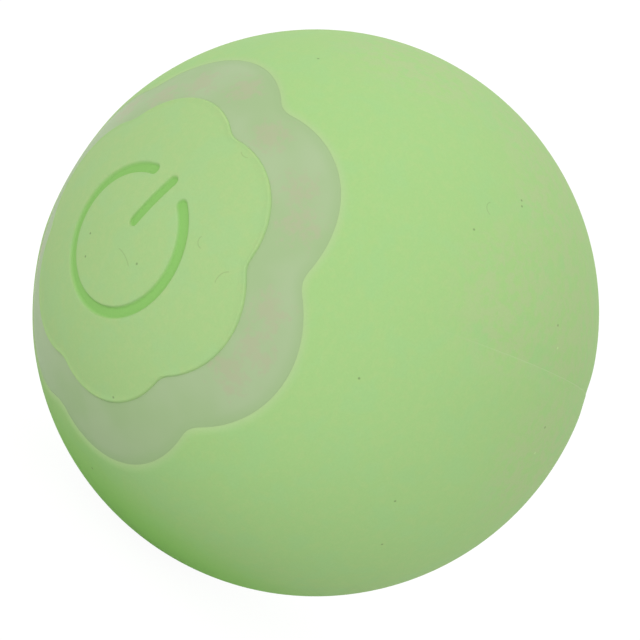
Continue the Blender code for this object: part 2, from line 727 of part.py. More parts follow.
def stroke_cutter(path, half_width, steps, cap_share):
    """A groove along a plan path, round at both ends, whose floor follows the pad's sphere.

    path(share) gives the centre point and the unit normal. cap_share is the path's share in each end."""
    floor_radius = BALL_RADIUS - SYMBOL_DEPTH
    cap_steps = 3
    starts = []
    for step in range(cap_steps):
        turn = math.pi / 2 * step / cap_steps
        starts.append((cap_share * (1 - math.cos(turn)), math.sin(turn)))
    middle = [(cap_share + (1 - 2 * cap_share) * step / steps, 1) for step in range(steps + 1)]
    ends = [(1 - share, width) for share, width in reversed(starts)]
    form = bmesh.new()
    rows = []
    for share, width in starts + middle + ends:
        (x, y), (across_x, across_y) = path(share)
        row = []
        for side in (-1, 1):
            reach = side * half_width * width
            point = (x + reach * across_x, y + reach * across_y)
            radius = math.hypot(*point)
            row.append(form.verts.new((*point, on_sphere(floor_radius, radius))))
            row.append(form.verts.new((*point, BALL_RADIUS + OVERRUN)))
        rows.append(row)
    for row, following in zip(rows, rows[1:]):
        for a, b in ((0, 1), (1, 3), (3, 2), (2, 0)):
            form.faces.new((row[a], row[b], following[b], following[a]))
    return form


def power_symbol():
    """Cutters of the standard power sign: an open ring, and a bar in its gap."""
    half_width = SYMBOL_STROKE / 2

    def ring_path(share):
        outwards = polar_point(1, SYMBOL_RING_START + SYMBOL_RING_SWEEP * share)
        return [SYMBOL_RING_RADIUS * along for along in outwards], outwards

    def bar_path(share):
        return (0, SYMBOL_BAR_BOTTOM + (SYMBOL_BAR_TOP - SYMBOL_BAR_BOTTOM) * share), (1, 0)

    ring_length = math.radians(SYMBOL_RING_SWEEP) * SYMBOL_RING_RADIUS
    bar_length = SYMBOL_BAR_TOP - SYMBOL_BAR_BOTTOM
    return joined(
        [
            stroke_cutter(ring_path, half_width, 24, half_width / ring_length),
            stroke_cutter(bar_path, half_width, 3, half_width / bar_length),
        ]
    )


def button_pad(body):
    """The lobed silicone pad, curved like the ball, with the power sign cut into it."""

    def section(angle):
        edge = pad_radius(angle)
        points = [(0, BALL_RADIUS)]
        for share in (0.35, 0.65):
            points.append((edge * share, on_sphere(BALL_RADIUS, edge * share)))
        points.append((edge - PAD_BEVEL, on_sphere(BALL_RADIUS, edge - PAD_BEVEL)))
        points.append((edge, on_sphere(BALL_RADIUS, edge) - PAD_BEVEL))
        points.append((edge, on_sphere(PAD_INNER_RADIUS, edge)))
        points.append((edge / 2, on_sphere(PAD_INNER_RADIUS, edge / 2)))
        points.append((0, PAD_INNER_RADIUS))
        return points

    pad = piece("button_pad", loft(section, COVER_STEPS, closed=False), silicone(), body)
    combine(pad, power_symbol(), "DIFFERENCE")
    return pad


def button_cap(body):
    """Plate under the pad, with the stem that runs through the front axle to the switch."""
    plate_edge = front_polar(CAP_TOP_RADIUS, CAP_RADIUS)
    profile = sphere_arc(CAP_TOP_RADIUS, 0, plate_edge, 3)
    profile += sphere_arc(
        CAP_BOTTOM_RADIUS,
        front_polar(CAP_BOTTOM_RADIUS, CAP_RADIUS),
        front_polar(CAP_BOTTOM_RADIUS, STEM_RADIUS),
        3,
    )
    neck_top = CLIP_TOP + SEAT_GAP
    neck_bottom = CLIP_BOTTOM - SEAT_GAP
    profile += [
        (STEM_RADIUS, neck_top),
        (STEM_NECK_RADIUS, neck_top),
        (STEM_NECK_RADIUS, neck_bottom),
        (STEM_RADIUS, neck_bottom),
        (STEM_RADIUS, STEM_END),
        (0, STEM_END),
    ]
    return piece("button_cap", lathe(profile, BUSH_STEPS, closed=False), shell_plastic(), body)


def stem_clip(body):
    """Open spring clip in the stem's neck, which stops the button from coming out."""
    sweep = 360.0 - CLIP_OPENING
    start = 90.0 + CLIP_OPENING / 2
    outline = circle_outline(CLIP_RADIUS, PIN_STEPS, start=start, sweep=sweep)
    outline += reversed(circle_outline(STEM_NECK_RADIUS + SEAT_GAP, PIN_STEPS, start=start, sweep=sweep))
    return piece("stem_clip", prism(outline, CLIP_BOTTOM, CLIP_TOP), steel(), body)


def port_plug(body):
    """Silicone stopper of the charging port, flush with the sleeve, with a dip for a fingernail."""
    cup_radius = PLUG_STEM_RADIUS - PLUG_CUP_WALL

    def section(angle):
        from_dip = PLUG_RADIUS * abs(math.remainder(angle - NAIL_DIP_ANGLE, 2 * math.pi))
        rim_dip = NAIL_DIP_DEPTH * max(0, 1 - from_dip / NAIL_DIP_REACH)
        points = sphere_arc(BALL_RADIUS, math.pi, rear_polar(BALL_RADIUS, PLUG_RADIUS), 3)[:-1]
        points += [
            (PLUG_RADIUS, rim_dip - on_sphere(BALL_RADIUS, PLUG_RADIUS)),
            (PLUG_RADIUS, -on_sphere(COVER_INNER_RADIUS, PLUG_RADIUS)),
            (PLUG_STEM_RADIUS, -on_sphere(COVER_INNER_RADIUS, PLUG_STEM_RADIUS)),
            (PLUG_STEM_RADIUS, PLUG_STEM_END),
            (cup_radius, PLUG_STEM_END),
        ]
        points += sphere_arc(COVER_INNER_RADIUS, rear_polar(COVER_INNER_RADIUS, cup_radius), math.pi, 2)
        return points

    return piece("port_plug", loft(section, BUSH_STEPS, closed=False), silicone(), body)


def cradle_outline():
    """Plan of the walls round the motor and under the battery, like an H with its upper half wider."""
    tray_outer = TRAY_HALF_WIDTH + FRAME_WALL
    motor_outer = CRADLE_HALF_WIDTH + FRAME_WALL
    right = [
        (CRADLE_HALF_WIDTH, SHELF_BOTTOM),
        (CRADLE_HALF_WIDTH, CRADLE_FLOOR),
        (motor_outer, CRADLE_FLOOR),
        (motor_outer, SHELF_BOTTOM),
        (tray_outer, SHELF_BOTTOM),
        (tray_outer, BATTERY_TOP),
        (TRAY_HALF_WIDTH, BATTERY_TOP),
        (TRAY_HALF_WIDTH, SHELF_TOP),
    ]
    return right + [(-x, y) for x, y in reversed(right)]


def board_post_places():
    return [(side * BOARD_POST_X, 0) for side in (-1, 1)]


def gear_post_places():
    return [polar_point(GEAR_POST_CIRCLE_RADIUS, angle) for angle in GEAR_POST_ANGLES]


def weight_screw_places():
    """Two screws through the weight, halfway between its flat top and its rim."""
    spread_share = 0.3
    height = -(WEIGHT_RADIUS - WEIGHT_TOP) / 2
    return [(side * WEIGHT_RADIUS * spread_share, height) for side in (-1, 1)]


def pod_frame(body):
    """Moulded plate between motor and gears, with the cradle, the board's posts and the gear posts."""
    frame_steps = 40
    frame = piece(
        "pod_frame",
        prism(circle_outline(FRAME_RADIUS, frame_steps), FRAME_BOTTOM, FRAME_TOP),
        frame_plastic(),
        body,
    )
    inside = FRAME_TOP - FRAME_THICKNESS / 2
    combine(frame, prism(cradle_outline(), inside, FRAME_TOP + CRADLE_HEIGHT), "UNION")
    posts = [
        prism(circle_outline(BOARD_POST_RADIUS, PIN_STEPS, place), inside, POST_TOP)
        for place in board_post_places()
    ]
    combine(frame, joined(posts), "UNION")
    posts = [
        prism(circle_outline(GEAR_POST_RADIUS, PIN_STEPS, place), GEAR_COVER_TOP + SEAT_GAP, inside)
        for place in gear_post_places()
    ]
    combine(frame, joined(posts), "UNION")
    low = GEAR_COVER_TOP - OVERRUN
    grip_end = GEAR_COVER_TOP + SCREW_GRIP + SEAT_GAP
    through = (FRAME_BOTTOM - OVERRUN, FRAME_TOP + OVERRUN)
    combine(
        frame,
        joined(
            [
                holes(MOTOR_HOLE_RADIUS, [MOTOR_AXIS], *through),
                holes(AXLE_HOLE_RADIUS, [FIRST_AXIS, SECOND_AXIS], *through),
                holes(SCREW_HOLE_RADIUS, weight_screw_places(), *through),
                holes(SCREW_HOLE_RADIUS, gear_post_places(), low, grip_end),
                holes(SCREW_HOLE_RADIUS, board_post_places(), POST_TOP - SCREW_GRIP, POST_TOP + OVERRUN),
            ]
        ),
        "DIFFERENCE",
    )
    return frame


def gear_cover(body):
    """Plate over the gears that carries the axles' far ends, with the hollow trunnion round the port."""
    collar_radius = TRUNNION_RADIUS + COLLAR_WIDTH
    profile = [
        (TRUNNION_BORE_RADIUS, PORT_SHOULDER),
        (TRUNNION_RADIUS, PORT_SHOULDER),
        (TRUNNION_RADIUS, COLLAR_END),
        (collar_radius, COLLAR_END),
        (collar_radius, GEAR_COVER_BOTTOM),
        (GEAR_COVER_RADIUS, GEAR_COVER_BOTTOM),
        (GEAR_COVER_RADIUS, GEAR_COVER_TOP),
        (TRUNNION_BORE_RADIUS, GEAR_COVER_TOP),
    ]
    cover = piece("gear_cover", lathe(profile, SHELL_STEPS), frame_plastic(), body)
    low = GEAR_COVER_BOTTOM - OVERRUN
    high = GEAR_COVER_TOP + OVERRUN
    combine(
        cover,
        joined(
            [
                holes(SCREW_HOLE_RADIUS, gear_post_places(), low, high),
                holes(AXLE_HOLE_RADIUS, [FIRST_AXIS, SECOND_AXIS], low, high),
            ]
        ),
        "DIFFERENCE",
    )
    return cover


def bush(name, body, bore_radius, outer_radius, bottom, top):
    """Plain bearing bush between the pod and a shell."""
    profile = [(bore_radius, bottom), (outer_radius, bottom), (outer_radius, top), (bore_radius, top)]
    return piece(name, lathe(profile, BUSH_STEPS), bronze(), body)


def bracket_outline():
    """Side view of the front bracket: a hat with two feet on the board."""
    foot_bottom = BOARD_TOP + SEAT_GAP
    foot_top = foot_bottom + BRACKET_FOOT_THICKNESS
    leg_outer = BOARD_POST_X - SCREW_HEAD_RADIUS - SEAT_GAP
    leg_inner = leg_outer - BRACKET_THICKNESS
    foot_end = BOARD_POST_X + SCREW_HEAD_RADIUS + BRACKET_THICKNESS
    right = [
        (leg_inner, BRACKET_BOTTOM),
        (leg_inner, foot_bottom),
        (foot_end, foot_bottom),
        (foot_end, foot_top),
        (leg_outer, foot_top),
        (leg_outer, BRACKET_TOP),
    ]
    return right + [(-x, z) for x, z in reversed(right)]


def front_bracket(body):
    """Hat-shaped bracket over the switch, with the ring that holds the front bush."""
    form = prism(bracket_outline(), -BRACKET_HALF_WIDTH, BRACKET_HALF_WIDTH)
    bmesh.ops.transform(form, verts=form.verts, matrix=Matrix.Rotation(math.pi / 2, 4, "X"))
    bracket = piece("front_bracket", form, frame_plastic(), body)
    inside = BRACKET_TOP - BRACKET_THICKNESS / 2
    ring = prism(circle_outline(BRACKET_RING_RADIUS, BUSH_STEPS), inside, BRACKET_RING_TOP)
    combine(bracket, ring, "UNION")
    bore = prism(circle_outline(BRACKET_BORE_RADIUS, BUSH_STEPS), BRACKET_TOP, BRACKET_RING_TOP + OVERRUN)
    combine(bracket, bore, "DIFFERENCE")
    spigot_hole = circle_outline(SPIGOT_RADIUS + SEAT_GAP, BUSH_STEPS)
    foot_top = BOARD_TOP + SEAT_GAP + BRACKET_FOOT_THICKNESS
    combine(
        bracket,
        joined(
            [
                prism(spigot_hole, BRACKET_BOTTOM - OVERRUN, BRACKET_TOP + OVERRUN),
                holes(SCREW_HOLE_RADIUS, board_post_places(), BOARD_TOP - OVERRUN, foot_top + OVERRUN),
            ]
        ),
        "DIFFERENCE",
    )
    return bracket


def main_board(body):
    """Round circuit board between the cradle and the front bracket."""
    board = piece(
        "main_board",
        prism(circle_outline(BOARD_RADIUS, SHELL_STEPS), BOARD_BOTTOM, BOARD_TOP),
        board_laminate(),
        body,
    )
    cutter = holes(SCREW_HOLE_RADIUS, board_post_places(), BOARD_BOTTOM - OVERRUN, BOARD_TOP + OVERRUN)
    combine(board, cutter, "DIFFERENCE")
    return board


def main_board_pieces(body):
    """What is soldered on the front of the main board."""
    seat = BOARD_TOP + SEAT_GAP
    corner_share = 0.08
    switch = piece(
        "switch_base",
        prism(rectangle_outline(SWITCH_WIDTH, SWITCH_WIDTH, SWITCH_WIDTH * corner_share), seat, SWITCH_TOP),
        chip_resin(),
        body,
    )
    plunger_bottom = PLUNGER_TOP - PLUNGER_LENGTH
    well_bottom = plunger_bottom - SWITCH_TRAVEL - SEAT_GAP
    well = holes(PLUNGER_RADIUS + SEAT_GAP, [(0, 0)], well_bottom, SWITCH_TOP + OVERRUN)
    combine(switch, well, "DIFFERENCE")
    chip = prism(rectangle_outline(CHIP_WIDTH, CHIP_WIDTH), seat, seat + CHIP_HEIGHT)
    piece("control_chip", chip, chip_resin(), body, (0, CHIP_OFFSET, 0))
    for number, angle in enumerate(LED_ANGLES, start=1):
        x, y = polar_point(LED_CIRCLE_RADIUS, angle)
        form = prism(rectangle_outline(LED_WIDTH, LED_DEPTH), seat, seat + LED_HEIGHT)
        piece(f"led_{number}", bevelled(form, LED_HEIGHT / 6, 1), led_resin(), body, (x, y, 0))


def switch_plunger(body):
    """The switch's own button, pushed down by the stem."""
    form = prism(circle_outline(PLUNGER_RADIUS, PIN_STEPS), PLUNGER_TOP - PLUNGER_LENGTH, PLUNGER_TOP)
    return piece("switch_plunger", form, frame_plastic(), body)


def motor_outline(shrink=0):
    """Round motor with two flats."""
    radius = MOTOR_DIAMETER / 2 - shrink
    half_flats = MOTOR_FLATS / 2 - shrink
    corner = math.degrees(math.asin(half_flats / radius))
    arc_steps = 8
    right = circle_outline(radius, arc_steps, start=-corner, sweep=2 * corner)
    return right + circle_outline(radius, arc_steps, start=180.0 - corner, sweep=2 * corner)


def motor(body):
    """The motor's can with its bearing boss, and the cap with two terminals at its back."""
    place = (*MOTOR_AXIS, 0)
    can = piece("motor_can", prism(motor_outline(), MOTOR_FRONT, MOTOR_BACK), steel(), body, place)
    boss = circle_outline(MOTOR_BOSS_RADIUS, PIN_STEPS)
    combine(can, prism(boss, MOTOR_FRONT - MOTOR_BOSS_LENGTH, MOTOR_FRONT + OVERRUN), "UNION")
    bore = holes(
        MOTOR_SHAFT_RADIUS + SEAT_GAP,
        [(0, 0)],
        MOTOR_FRONT - MOTOR_BOSS_LENGTH - OVERRUN,
        MOTOR_FRONT + MOTOR_SHAFT_DEPTH + SEAT_GAP,
    )
    combine(can, bore, "DIFFERENCE")
    cap_bottom = MOTOR_BACK + SEAT_GAP
    cap_inset = FRAME_WALL / 2
    cap = piece(
        "motor_end_cap",
        prism(motor_outline(cap_inset), cap_bottom, cap_bottom + MOTOR_CAP_LENGTH / 2),
        frame_plastic(),
        body,
        place,
    )
    terminals = [
        prism(
            rectangle_outline(MOTOR_SHAFT_RADIUS, 2 * FRAME_WALL, centre=(side * MOTOR_DIAMETER / 4, 0)),
            cap_bottom + MOTOR_CAP_LENGTH / 4,
            cap_bottom + MOTOR_CAP_LENGTH,
        )
        for side in (-1, 1)
    ]
    combine(cap, joined(terminals), "UNION")


def motor_rotor(body):
    """The motor's shaft and the pinion on it."""
    shaft = prism(
        circle_outline(MOTOR_SHAFT_RADIUS, PIN_STEPS),
        FIRST_WHEEL_BOTTOM - RUNNING_GAP,
        MOTOR_FRONT + MOTOR_SHAFT_DEPTH,
    )
    piece("motor_shaft", shaft, steel(), body)
    outline = gear_outline(
        PINION_TEETH,
        MOTOR_MODULE,
        SHIFT_SHARE,
        TOOTH_THINNING,
        direction(MOTOR_AXIS, FIRST_AXIS),
        fine=True,
    )
    pinion = piece("motor_pinion", prism(outline, FIRST_WHEEL_BOTTOM, FIRST_WHEEL_TOP), bronze(), body)
    through = (FIRST_WHEEL_BOTTOM - OVERRUN, FIRST_WHEEL_TOP + OVERRUN)
    combine(pinion, holes(MOTOR_SHAFT_RADIUS + SEAT_GAP, [(0, 0)], *through), "DIFFERENCE")


def first_gear(body):
    """Compound gear: the wheel that the motor drives, and the pinion below it."""
    space = direction(FIRST_AXIS, MOTOR_AXIS) + 180.0 / FIRST_WHEEL_TEETH
    wheel = gear_outline(FIRST_WHEEL_TEETH, MOTOR_MODULE, -SHIFT_SHARE, TOOTH_THINNING, space)
    gear = piece("first_gear", prism(wheel, FIRST_WHEEL_BOTTOM, FIRST_WHEEL_TOP), gear_plastic(), body)
    pinion = gear_outline(
        FIRST_PINION_TEETH,
        MOTOR_MODULE,
        SHIFT_SHARE,
        TOOTH_THINNING,
        direction(FIRST_AXIS, SECOND_AXIS),
        fine=True,
    )
    inside = FIRST_WHEEL_BOTTOM + FIRST_GEAR_HEIGHT / 2
    combine(gear, prism(pinion, SECOND_WHEEL_BOTTOM, inside), "UNION")
    combine(
        gear,
        holes(AXLE_HOLE_RADIUS, [(0, 0)], SECOND_WHEEL_BOTTOM - OVERRUN, FIRST_WHEEL_TOP + OVERRUN),
        "DIFFERENCE",
    )
    return gear


def second_gear(body):
    """Compound gear: the wheel that the first pinion drives, and the pinion that climbs the ring gear."""
    space = direction(SECOND_AXIS, FIRST_AXIS) + 180.0 / SECOND_WHEEL_TEETH
    wheel = gear_outline(SECOND_WHEEL_TEETH, MOTOR_MODULE, -SHIFT_SHARE, TOOTH_THINNING, space)
    gear = piece("second_gear", prism(wheel, SECOND_WHEEL_BOTTOM, SECOND_WHEEL_TOP), gear_plastic(), body)
    inside = SECOND_WHEEL_BOTTOM + SECOND_GEAR_HEIGHT / 2
    combine(gear, prism(circle_outline(HUB_RADIUS, PIN_STEPS), RING_TOP - OVERRUN, inside), "UNION")
    pinion = gear_outline(
        SECOND_PINION_TEETH,
        RING_MODULE,
        SHIFT_SHARE,
        TOOTH_THINNING,
        direction((0, 0), SECOND_AXIS),
        fine=True,
    )
    combine(gear, prism(pinion, RING_BOTTOM, RING_TOP), "UNION")
    combine(
        gear,
        holes(AXLE_HOLE_RADIUS, [(0, 0)], RING_BOTTOM - OVERRUN, SECOND_WHEEL_TOP + OVERRUN),
        "DIFFERENCE",
    )
    return gear


def axles(body):
    """Steel pins of the two compound gears, between the frame and the gear cover."""
    for name, place in (("first_axle", FIRST_AXIS), ("second_axle", SECOND_AXIS)):
        form = prism(circle_outline(AXLE_RADIUS, PIN_STEPS), GEAR_COVER_BOTTOM, FRAME_TOP)
        piece(name, form, steel(), body, (*place, 0))


def battery_cell(body):
    """Flat rechargeable cell in the upper tray."""
    form = bevelled(
        prism(rectangle_outline(BATTERY_WIDTH, BATTERY_HEIGHT), MOTOR_FRONT, MOTOR_FRONT + BATTERY_LENGTH),
        BATTERY_EDGE,
    )
    place = (0, (BATTERY_BOTTOM + BATTERY_TOP) / 2, 0)
    return piece("battery_cell", form, battery_foil(), body, place)


def counterweight(body):
    """Cast half moon under the motor, which keeps the pod hanging down."""
    corner = math.degrees(math.acos(-WEIGHT_TOP / WEIGHT_RADIUS))
    outline = circle_outline(WEIGHT_RADIUS, SHELL_STEPS // 2, start=270.0 - corner, sweep=2 * corner)
    form = bevelled(prism(outline, MOTOR_FRONT, MOTOR_FRONT + WEIGHT_THICKNESS), WEIGHT_EDGE, 1)
    weight = piece("counterweight", form, zinc(), body)
    top = MOTOR_FRONT + WEIGHT_THICKNESS
    seat = weight_screw_seat()
    places = weight_screw_places()
    shanks = holes(SCREW_HOLE_RADIUS, places, MOTOR_FRONT - OVERRUN, seat + OVERRUN)
    combine(weight, shanks, "DIFFERENCE")
    heads = holes(SCREW_HEAD_RADIUS + SEAT_GAP, places, seat, top + OVERRUN)
    combine(weight, heads, "DIFFERENCE")
    return weight


def weight_screw_seat():
    """Height of the shoulder that the weight's screw heads sit on, sunk below its face."""
    return MOTOR_FRONT + WEIGHT_THICKNESS - SCREW_HEAD_HEIGHT - 2 * SEAT_GAP


def screws(body):
    """All the screws of the pod."""
    foot_top = BOARD_TOP + SEAT_GAP + BRACKET_FOOT_THICKNESS + SEAT_GAP
    bracket_length = foot_top - POST_TOP + SCREW_GRIP - SEAT_GAP
    groups = (
        ("bracket_screw", board_post_places(), foot_top, bracket_length, 1),
        (
            "cover_screw",
            gear_post_places(),
            GEAR_COVER_BOTTOM - SEAT_GAP,
            GEAR_COVER_THICKNESS + SCREW_GRIP,
            -1,
        ),
        (
            "weight_screw",
            weight_screw_places(),
            weight_screw_seat() + SEAT_GAP,
            weight_screw_seat() + SEAT_GAP - FRAME_BOTTOM,
            1,
        ),
    )
    for name, places, seat, length, sign in groups:
        for number, (x, y) in enumerate(places, start=1):
            piece(f"{name}_{number}", screw_form(seat, length, sign), steel(), body, (x, y, 0))


def port_pieces(body):
    """The small board behind the trunnion, and the charging socket that stands through it."""
    board_bottom = GEAR_COVER_TOP + SEAT_GAP
    board_top = board_bottom + BOARD_THICKNESS
    outline = rectangle_outline(USB_BOARD_WIDTH, USB_BOARD_HEIGHT, centre=(-USB_BOARD_SHIFT, 0))
    piece("usb_board", prism(outline, board_bottom, board_top), board_laminate(), body)
    corner_share = 0.4
    corner = USB_HEIGHT * corner_share
    back = board_bottom - SEAT_GAP
    socket = piece(
        "usb_socket",
        prism(rectangle_outline(USB_WIDTH, USB_HEIGHT, corner), USB_MOUTH, back),
        steel(),
        body,
    )
    inner = rectangle_outline(USB_WIDTH - 2 * USB_WALL, USB_HEIGHT - 2 * USB_WALL, corner - USB_WALL)
    combine(socket, prism(inner, USB_MOUTH - OVERRUN, back - USB_BACK), "DIFFERENCE")
    tongue = prism(
        rectangle_outline(TONGUE_WIDTH, TONGUE_HEIGHT), USB_MOUTH + TONGUE_INSET, back - USB_BACK - SEAT_GAP
    )
    piece("usb_tongue", tongue, chip_resin(), body)
    chip = prism(
        rectangle_outline(CHARGE_CHIP_WIDTH, CHARGE_CHIP_WIDTH),
        board_top + SEAT_GAP,
        board_top + SEAT_GAP + CHIP_HEIGHT,
    )
    piece("charge_chip", chip, chip_resin(), body, (-USB_BOARD_SHIFT, 0, 0))


def build():
    clear_scene()
    ball = empty("ball_axis")
    ball.rotation_euler = (math.pi / 2, 0, 0)
    silicone_cover(ball)
    light_ring(ball)
    front_shell(ball)
    rear_shell(ball)
    ring_gear(ball)

    button = empty("button_axis", ball)
    button_pad(button)
    button_cap(button)
    stem_clip(button)

    port_plug(empty("plug_axis", ball))

    pod = empty("pod_axis", ball)
    pod_frame(pod)
    gear_cover(pod)
    front_bracket(pod)
    bush("front_bush", pod, SPIGOT_RADIUS + SEAT_GAP, BUSH_RADIUS, FRONT_BUSH_BOTTOM, BRACKET_RING_TOP)
    bush("rear_bush", pod, TRUNNION_RADIUS + SEAT_GAP, REAR_BUSH_RADIUS, REAR_BUSH_BOTTOM, REAR_BUSH_TOP)
    motor(pod)
    battery_cell(pod)
    counterweight(pod)
    main_board(pod)
    main_board_pieces(pod)
    port_pieces(pod)
    axles(pod)
    screws(pod)

    switch_plunger(empty("switch_axis", pod))
    motor_rotor(empty("motor_axis", pod, (*MOTOR_AXIS, 0)))
    first_gear(empty("first_gear_axis", pod, (*FIRST_AXIS, 0)))
    second_gear(empty("second_gear_axis", pod, (*SECOND_AXIS, 0)))


build()
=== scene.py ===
# %% [markdown]
# # Dressing a self rolling cat ball
#
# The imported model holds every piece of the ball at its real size, with the bodies and joints that move it.
# It is loaded as a fixed frame. The four pieces that anyone sees, which are the sleeve, the light ring, the
# button's pad and the stopper of the charging port, are then built again with finer forms in the same places,
# and every other piece keeps its CAD shape and gets a better finish.

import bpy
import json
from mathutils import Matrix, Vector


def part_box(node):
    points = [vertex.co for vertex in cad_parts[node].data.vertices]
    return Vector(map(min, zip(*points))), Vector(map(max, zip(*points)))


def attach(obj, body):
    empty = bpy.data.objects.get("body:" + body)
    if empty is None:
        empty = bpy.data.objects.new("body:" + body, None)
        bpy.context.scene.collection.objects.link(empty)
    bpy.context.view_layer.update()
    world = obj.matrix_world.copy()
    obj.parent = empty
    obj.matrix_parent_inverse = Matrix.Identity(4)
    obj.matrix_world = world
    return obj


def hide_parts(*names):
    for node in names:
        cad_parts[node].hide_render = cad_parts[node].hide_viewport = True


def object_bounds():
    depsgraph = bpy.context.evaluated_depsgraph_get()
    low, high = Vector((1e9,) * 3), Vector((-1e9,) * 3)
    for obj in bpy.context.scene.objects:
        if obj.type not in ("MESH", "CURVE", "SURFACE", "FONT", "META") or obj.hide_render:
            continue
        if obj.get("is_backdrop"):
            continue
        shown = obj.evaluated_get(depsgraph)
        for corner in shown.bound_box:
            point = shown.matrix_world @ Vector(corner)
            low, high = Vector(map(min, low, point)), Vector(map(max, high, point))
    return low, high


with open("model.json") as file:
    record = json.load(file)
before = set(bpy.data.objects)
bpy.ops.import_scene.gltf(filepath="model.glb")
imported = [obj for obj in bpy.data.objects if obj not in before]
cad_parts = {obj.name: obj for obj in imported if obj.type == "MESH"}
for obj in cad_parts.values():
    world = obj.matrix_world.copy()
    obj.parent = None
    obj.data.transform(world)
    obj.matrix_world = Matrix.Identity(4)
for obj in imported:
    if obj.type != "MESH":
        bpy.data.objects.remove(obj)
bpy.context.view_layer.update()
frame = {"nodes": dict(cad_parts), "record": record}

# %% [markdown]
# Blender's own modules do the rest: bpy makes materials, lamps and objects, bmesh shapes the meshes, and
# mathutils has the vectors and turns.

# %% Bring in the modules
import json
import math

import bmesh
import bpy
from mathutils import Matrix, Vector

# %% [markdown]
# ## Sizes
#
# The ball is drawn in a plan frame, seen from the button's side: x to the right, y up along the bar of the
# power sign, and z from the ball's centre towards the button. One quarter turn about x puts each finished
# piece in the frame of the CAD model. Lengths are in metres, as everywhere in Blender.

# %% Name the ball's sizes
BALL_RADIUS = 0.0215
SLEEVE_THICKNESS = 0.0012
PAD_THICKNESS = 0.0012
SEAT_GAP = 0.0003
WALL_RADIUS = BALL_RADIUS - SLEEVE_THICKNESS
PAD_BACK_RADIUS = BALL_RADIUS - PAD_THICKNESS
SHELL_RADIUS = WALL_RADIUS - SEAT_GAP
TO_WORLD = Matrix.Rotation(math.radians(90), 4, "X")


def millimetres(length):
    """A length in metres as it is printed."""
    return round(1000 * length, 2)


ball_low, ball_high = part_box("silicone_cover")
print("sleeve measured across:", [millimetres(size) for size in ball_high - ball_low], "mm")

# %% [markdown]
# ## Shader maths as Python
#
# A finish is a tree of nodes. Wiring it by hand takes a line for each link, so one small class wraps an
# output socket and lets Python's operators add the Math nodes.


# %% Wrap a socket so that operators build Math nodes
class Wire:
    """An output socket in a tree of nodes, which + - and * work on."""

    def __init__(self, nodes, socket):
        self.nodes = nodes
        self.socket = socket

    def maths(self, operation, *others):
        """One Math node on this value and the others, in their order."""
        return self.nodes.node("ShaderNodeMath", {"operation": operation}, dict(enumerate((self, *others))))

    def __add__(self, other):
        return self.maths("ADD", other)

    def __sub__(self, other):
        return self.maths("SUBTRACT", other)

    def __mul__(self, other):
        return self.maths("MULTIPLY", other)

    def __rsub__(self, other):
        return self.nodes.node("ShaderNodeMath", {"operation": "SUBTRACT"}, {0: other, 1: self})

    __radd__ = __add__
    __rmul__ = __mul__

    def between(self, low, high):
        """Rises smoothly from 0 to 1 as the value goes from low to high."""
        settings = {"interpolation_type": "SMOOTHSTEP", "clamp": True}
        inputs = {"Value": self, "From Min": low, "From Max": high}
        return self.nodes.node("ShaderNodeMapRange", settings, inputs)


# %% [markdown]
# Colours and vectors need other nodes than Math, because Math turns a colour grey. A second class holds the
# tree, of a material or of the world, and adds any node from its type, its settings and its inputs. It also
# knows which rays show the background: those that reach it straight from the camera, or by metal or glass.


# %% Hold a tree and add its nodes
class Nodes:
    """The tree of nodes of a material or of the world."""

    def __init__(self, owner):
        owner.use_nodes = True
        self.tree = owner.node_tree

    def node(self, kind, settings=None, inputs=None, output=0):
        """Adds one node: settings first, then a value or a link for each named or numbered input."""
        made = self.tree.nodes.new(kind)
        for setting, value in (settings or {}).items():
            setattr(made, setting, value)
        for socket, value in (inputs or {}).items():
            if isinstance(value, Wire):
                self.tree.links.new(value.socket, made.inputs[socket])
            else:
                made.inputs[socket].default_value = value
        return Wire(self, made.outputs[output])

    def link(self, wire, node_name, socket):
        """Feeds a socket of a node that the tree began with."""
        self.tree.links.new(wire.socket, self.tree.nodes[node_name].inputs[socket])

    def seen(self):
        """1 for a ray that shows the background, straight, in a mirror or through glass, and 0 for light."""
        paths = ("Is Camera Ray", "Is Glossy Ray", "Is Transmission Ray")
        straight, mirrored, through = (self.node("ShaderNodeLightPath", output=path) for path in paths)
        return straight.maths("MAXIMUM", mirrored).maths("MAXIMUM", through)


# %% [markdown]
# A finish always ends in one Principled BSDF. What is the same all over the surface is set on its sockets,
# and only colour, roughness and the bump are fed by patterns, so that the model can be baked for export.
# The patterns read object coordinates, which stay with a piece when its body moves.


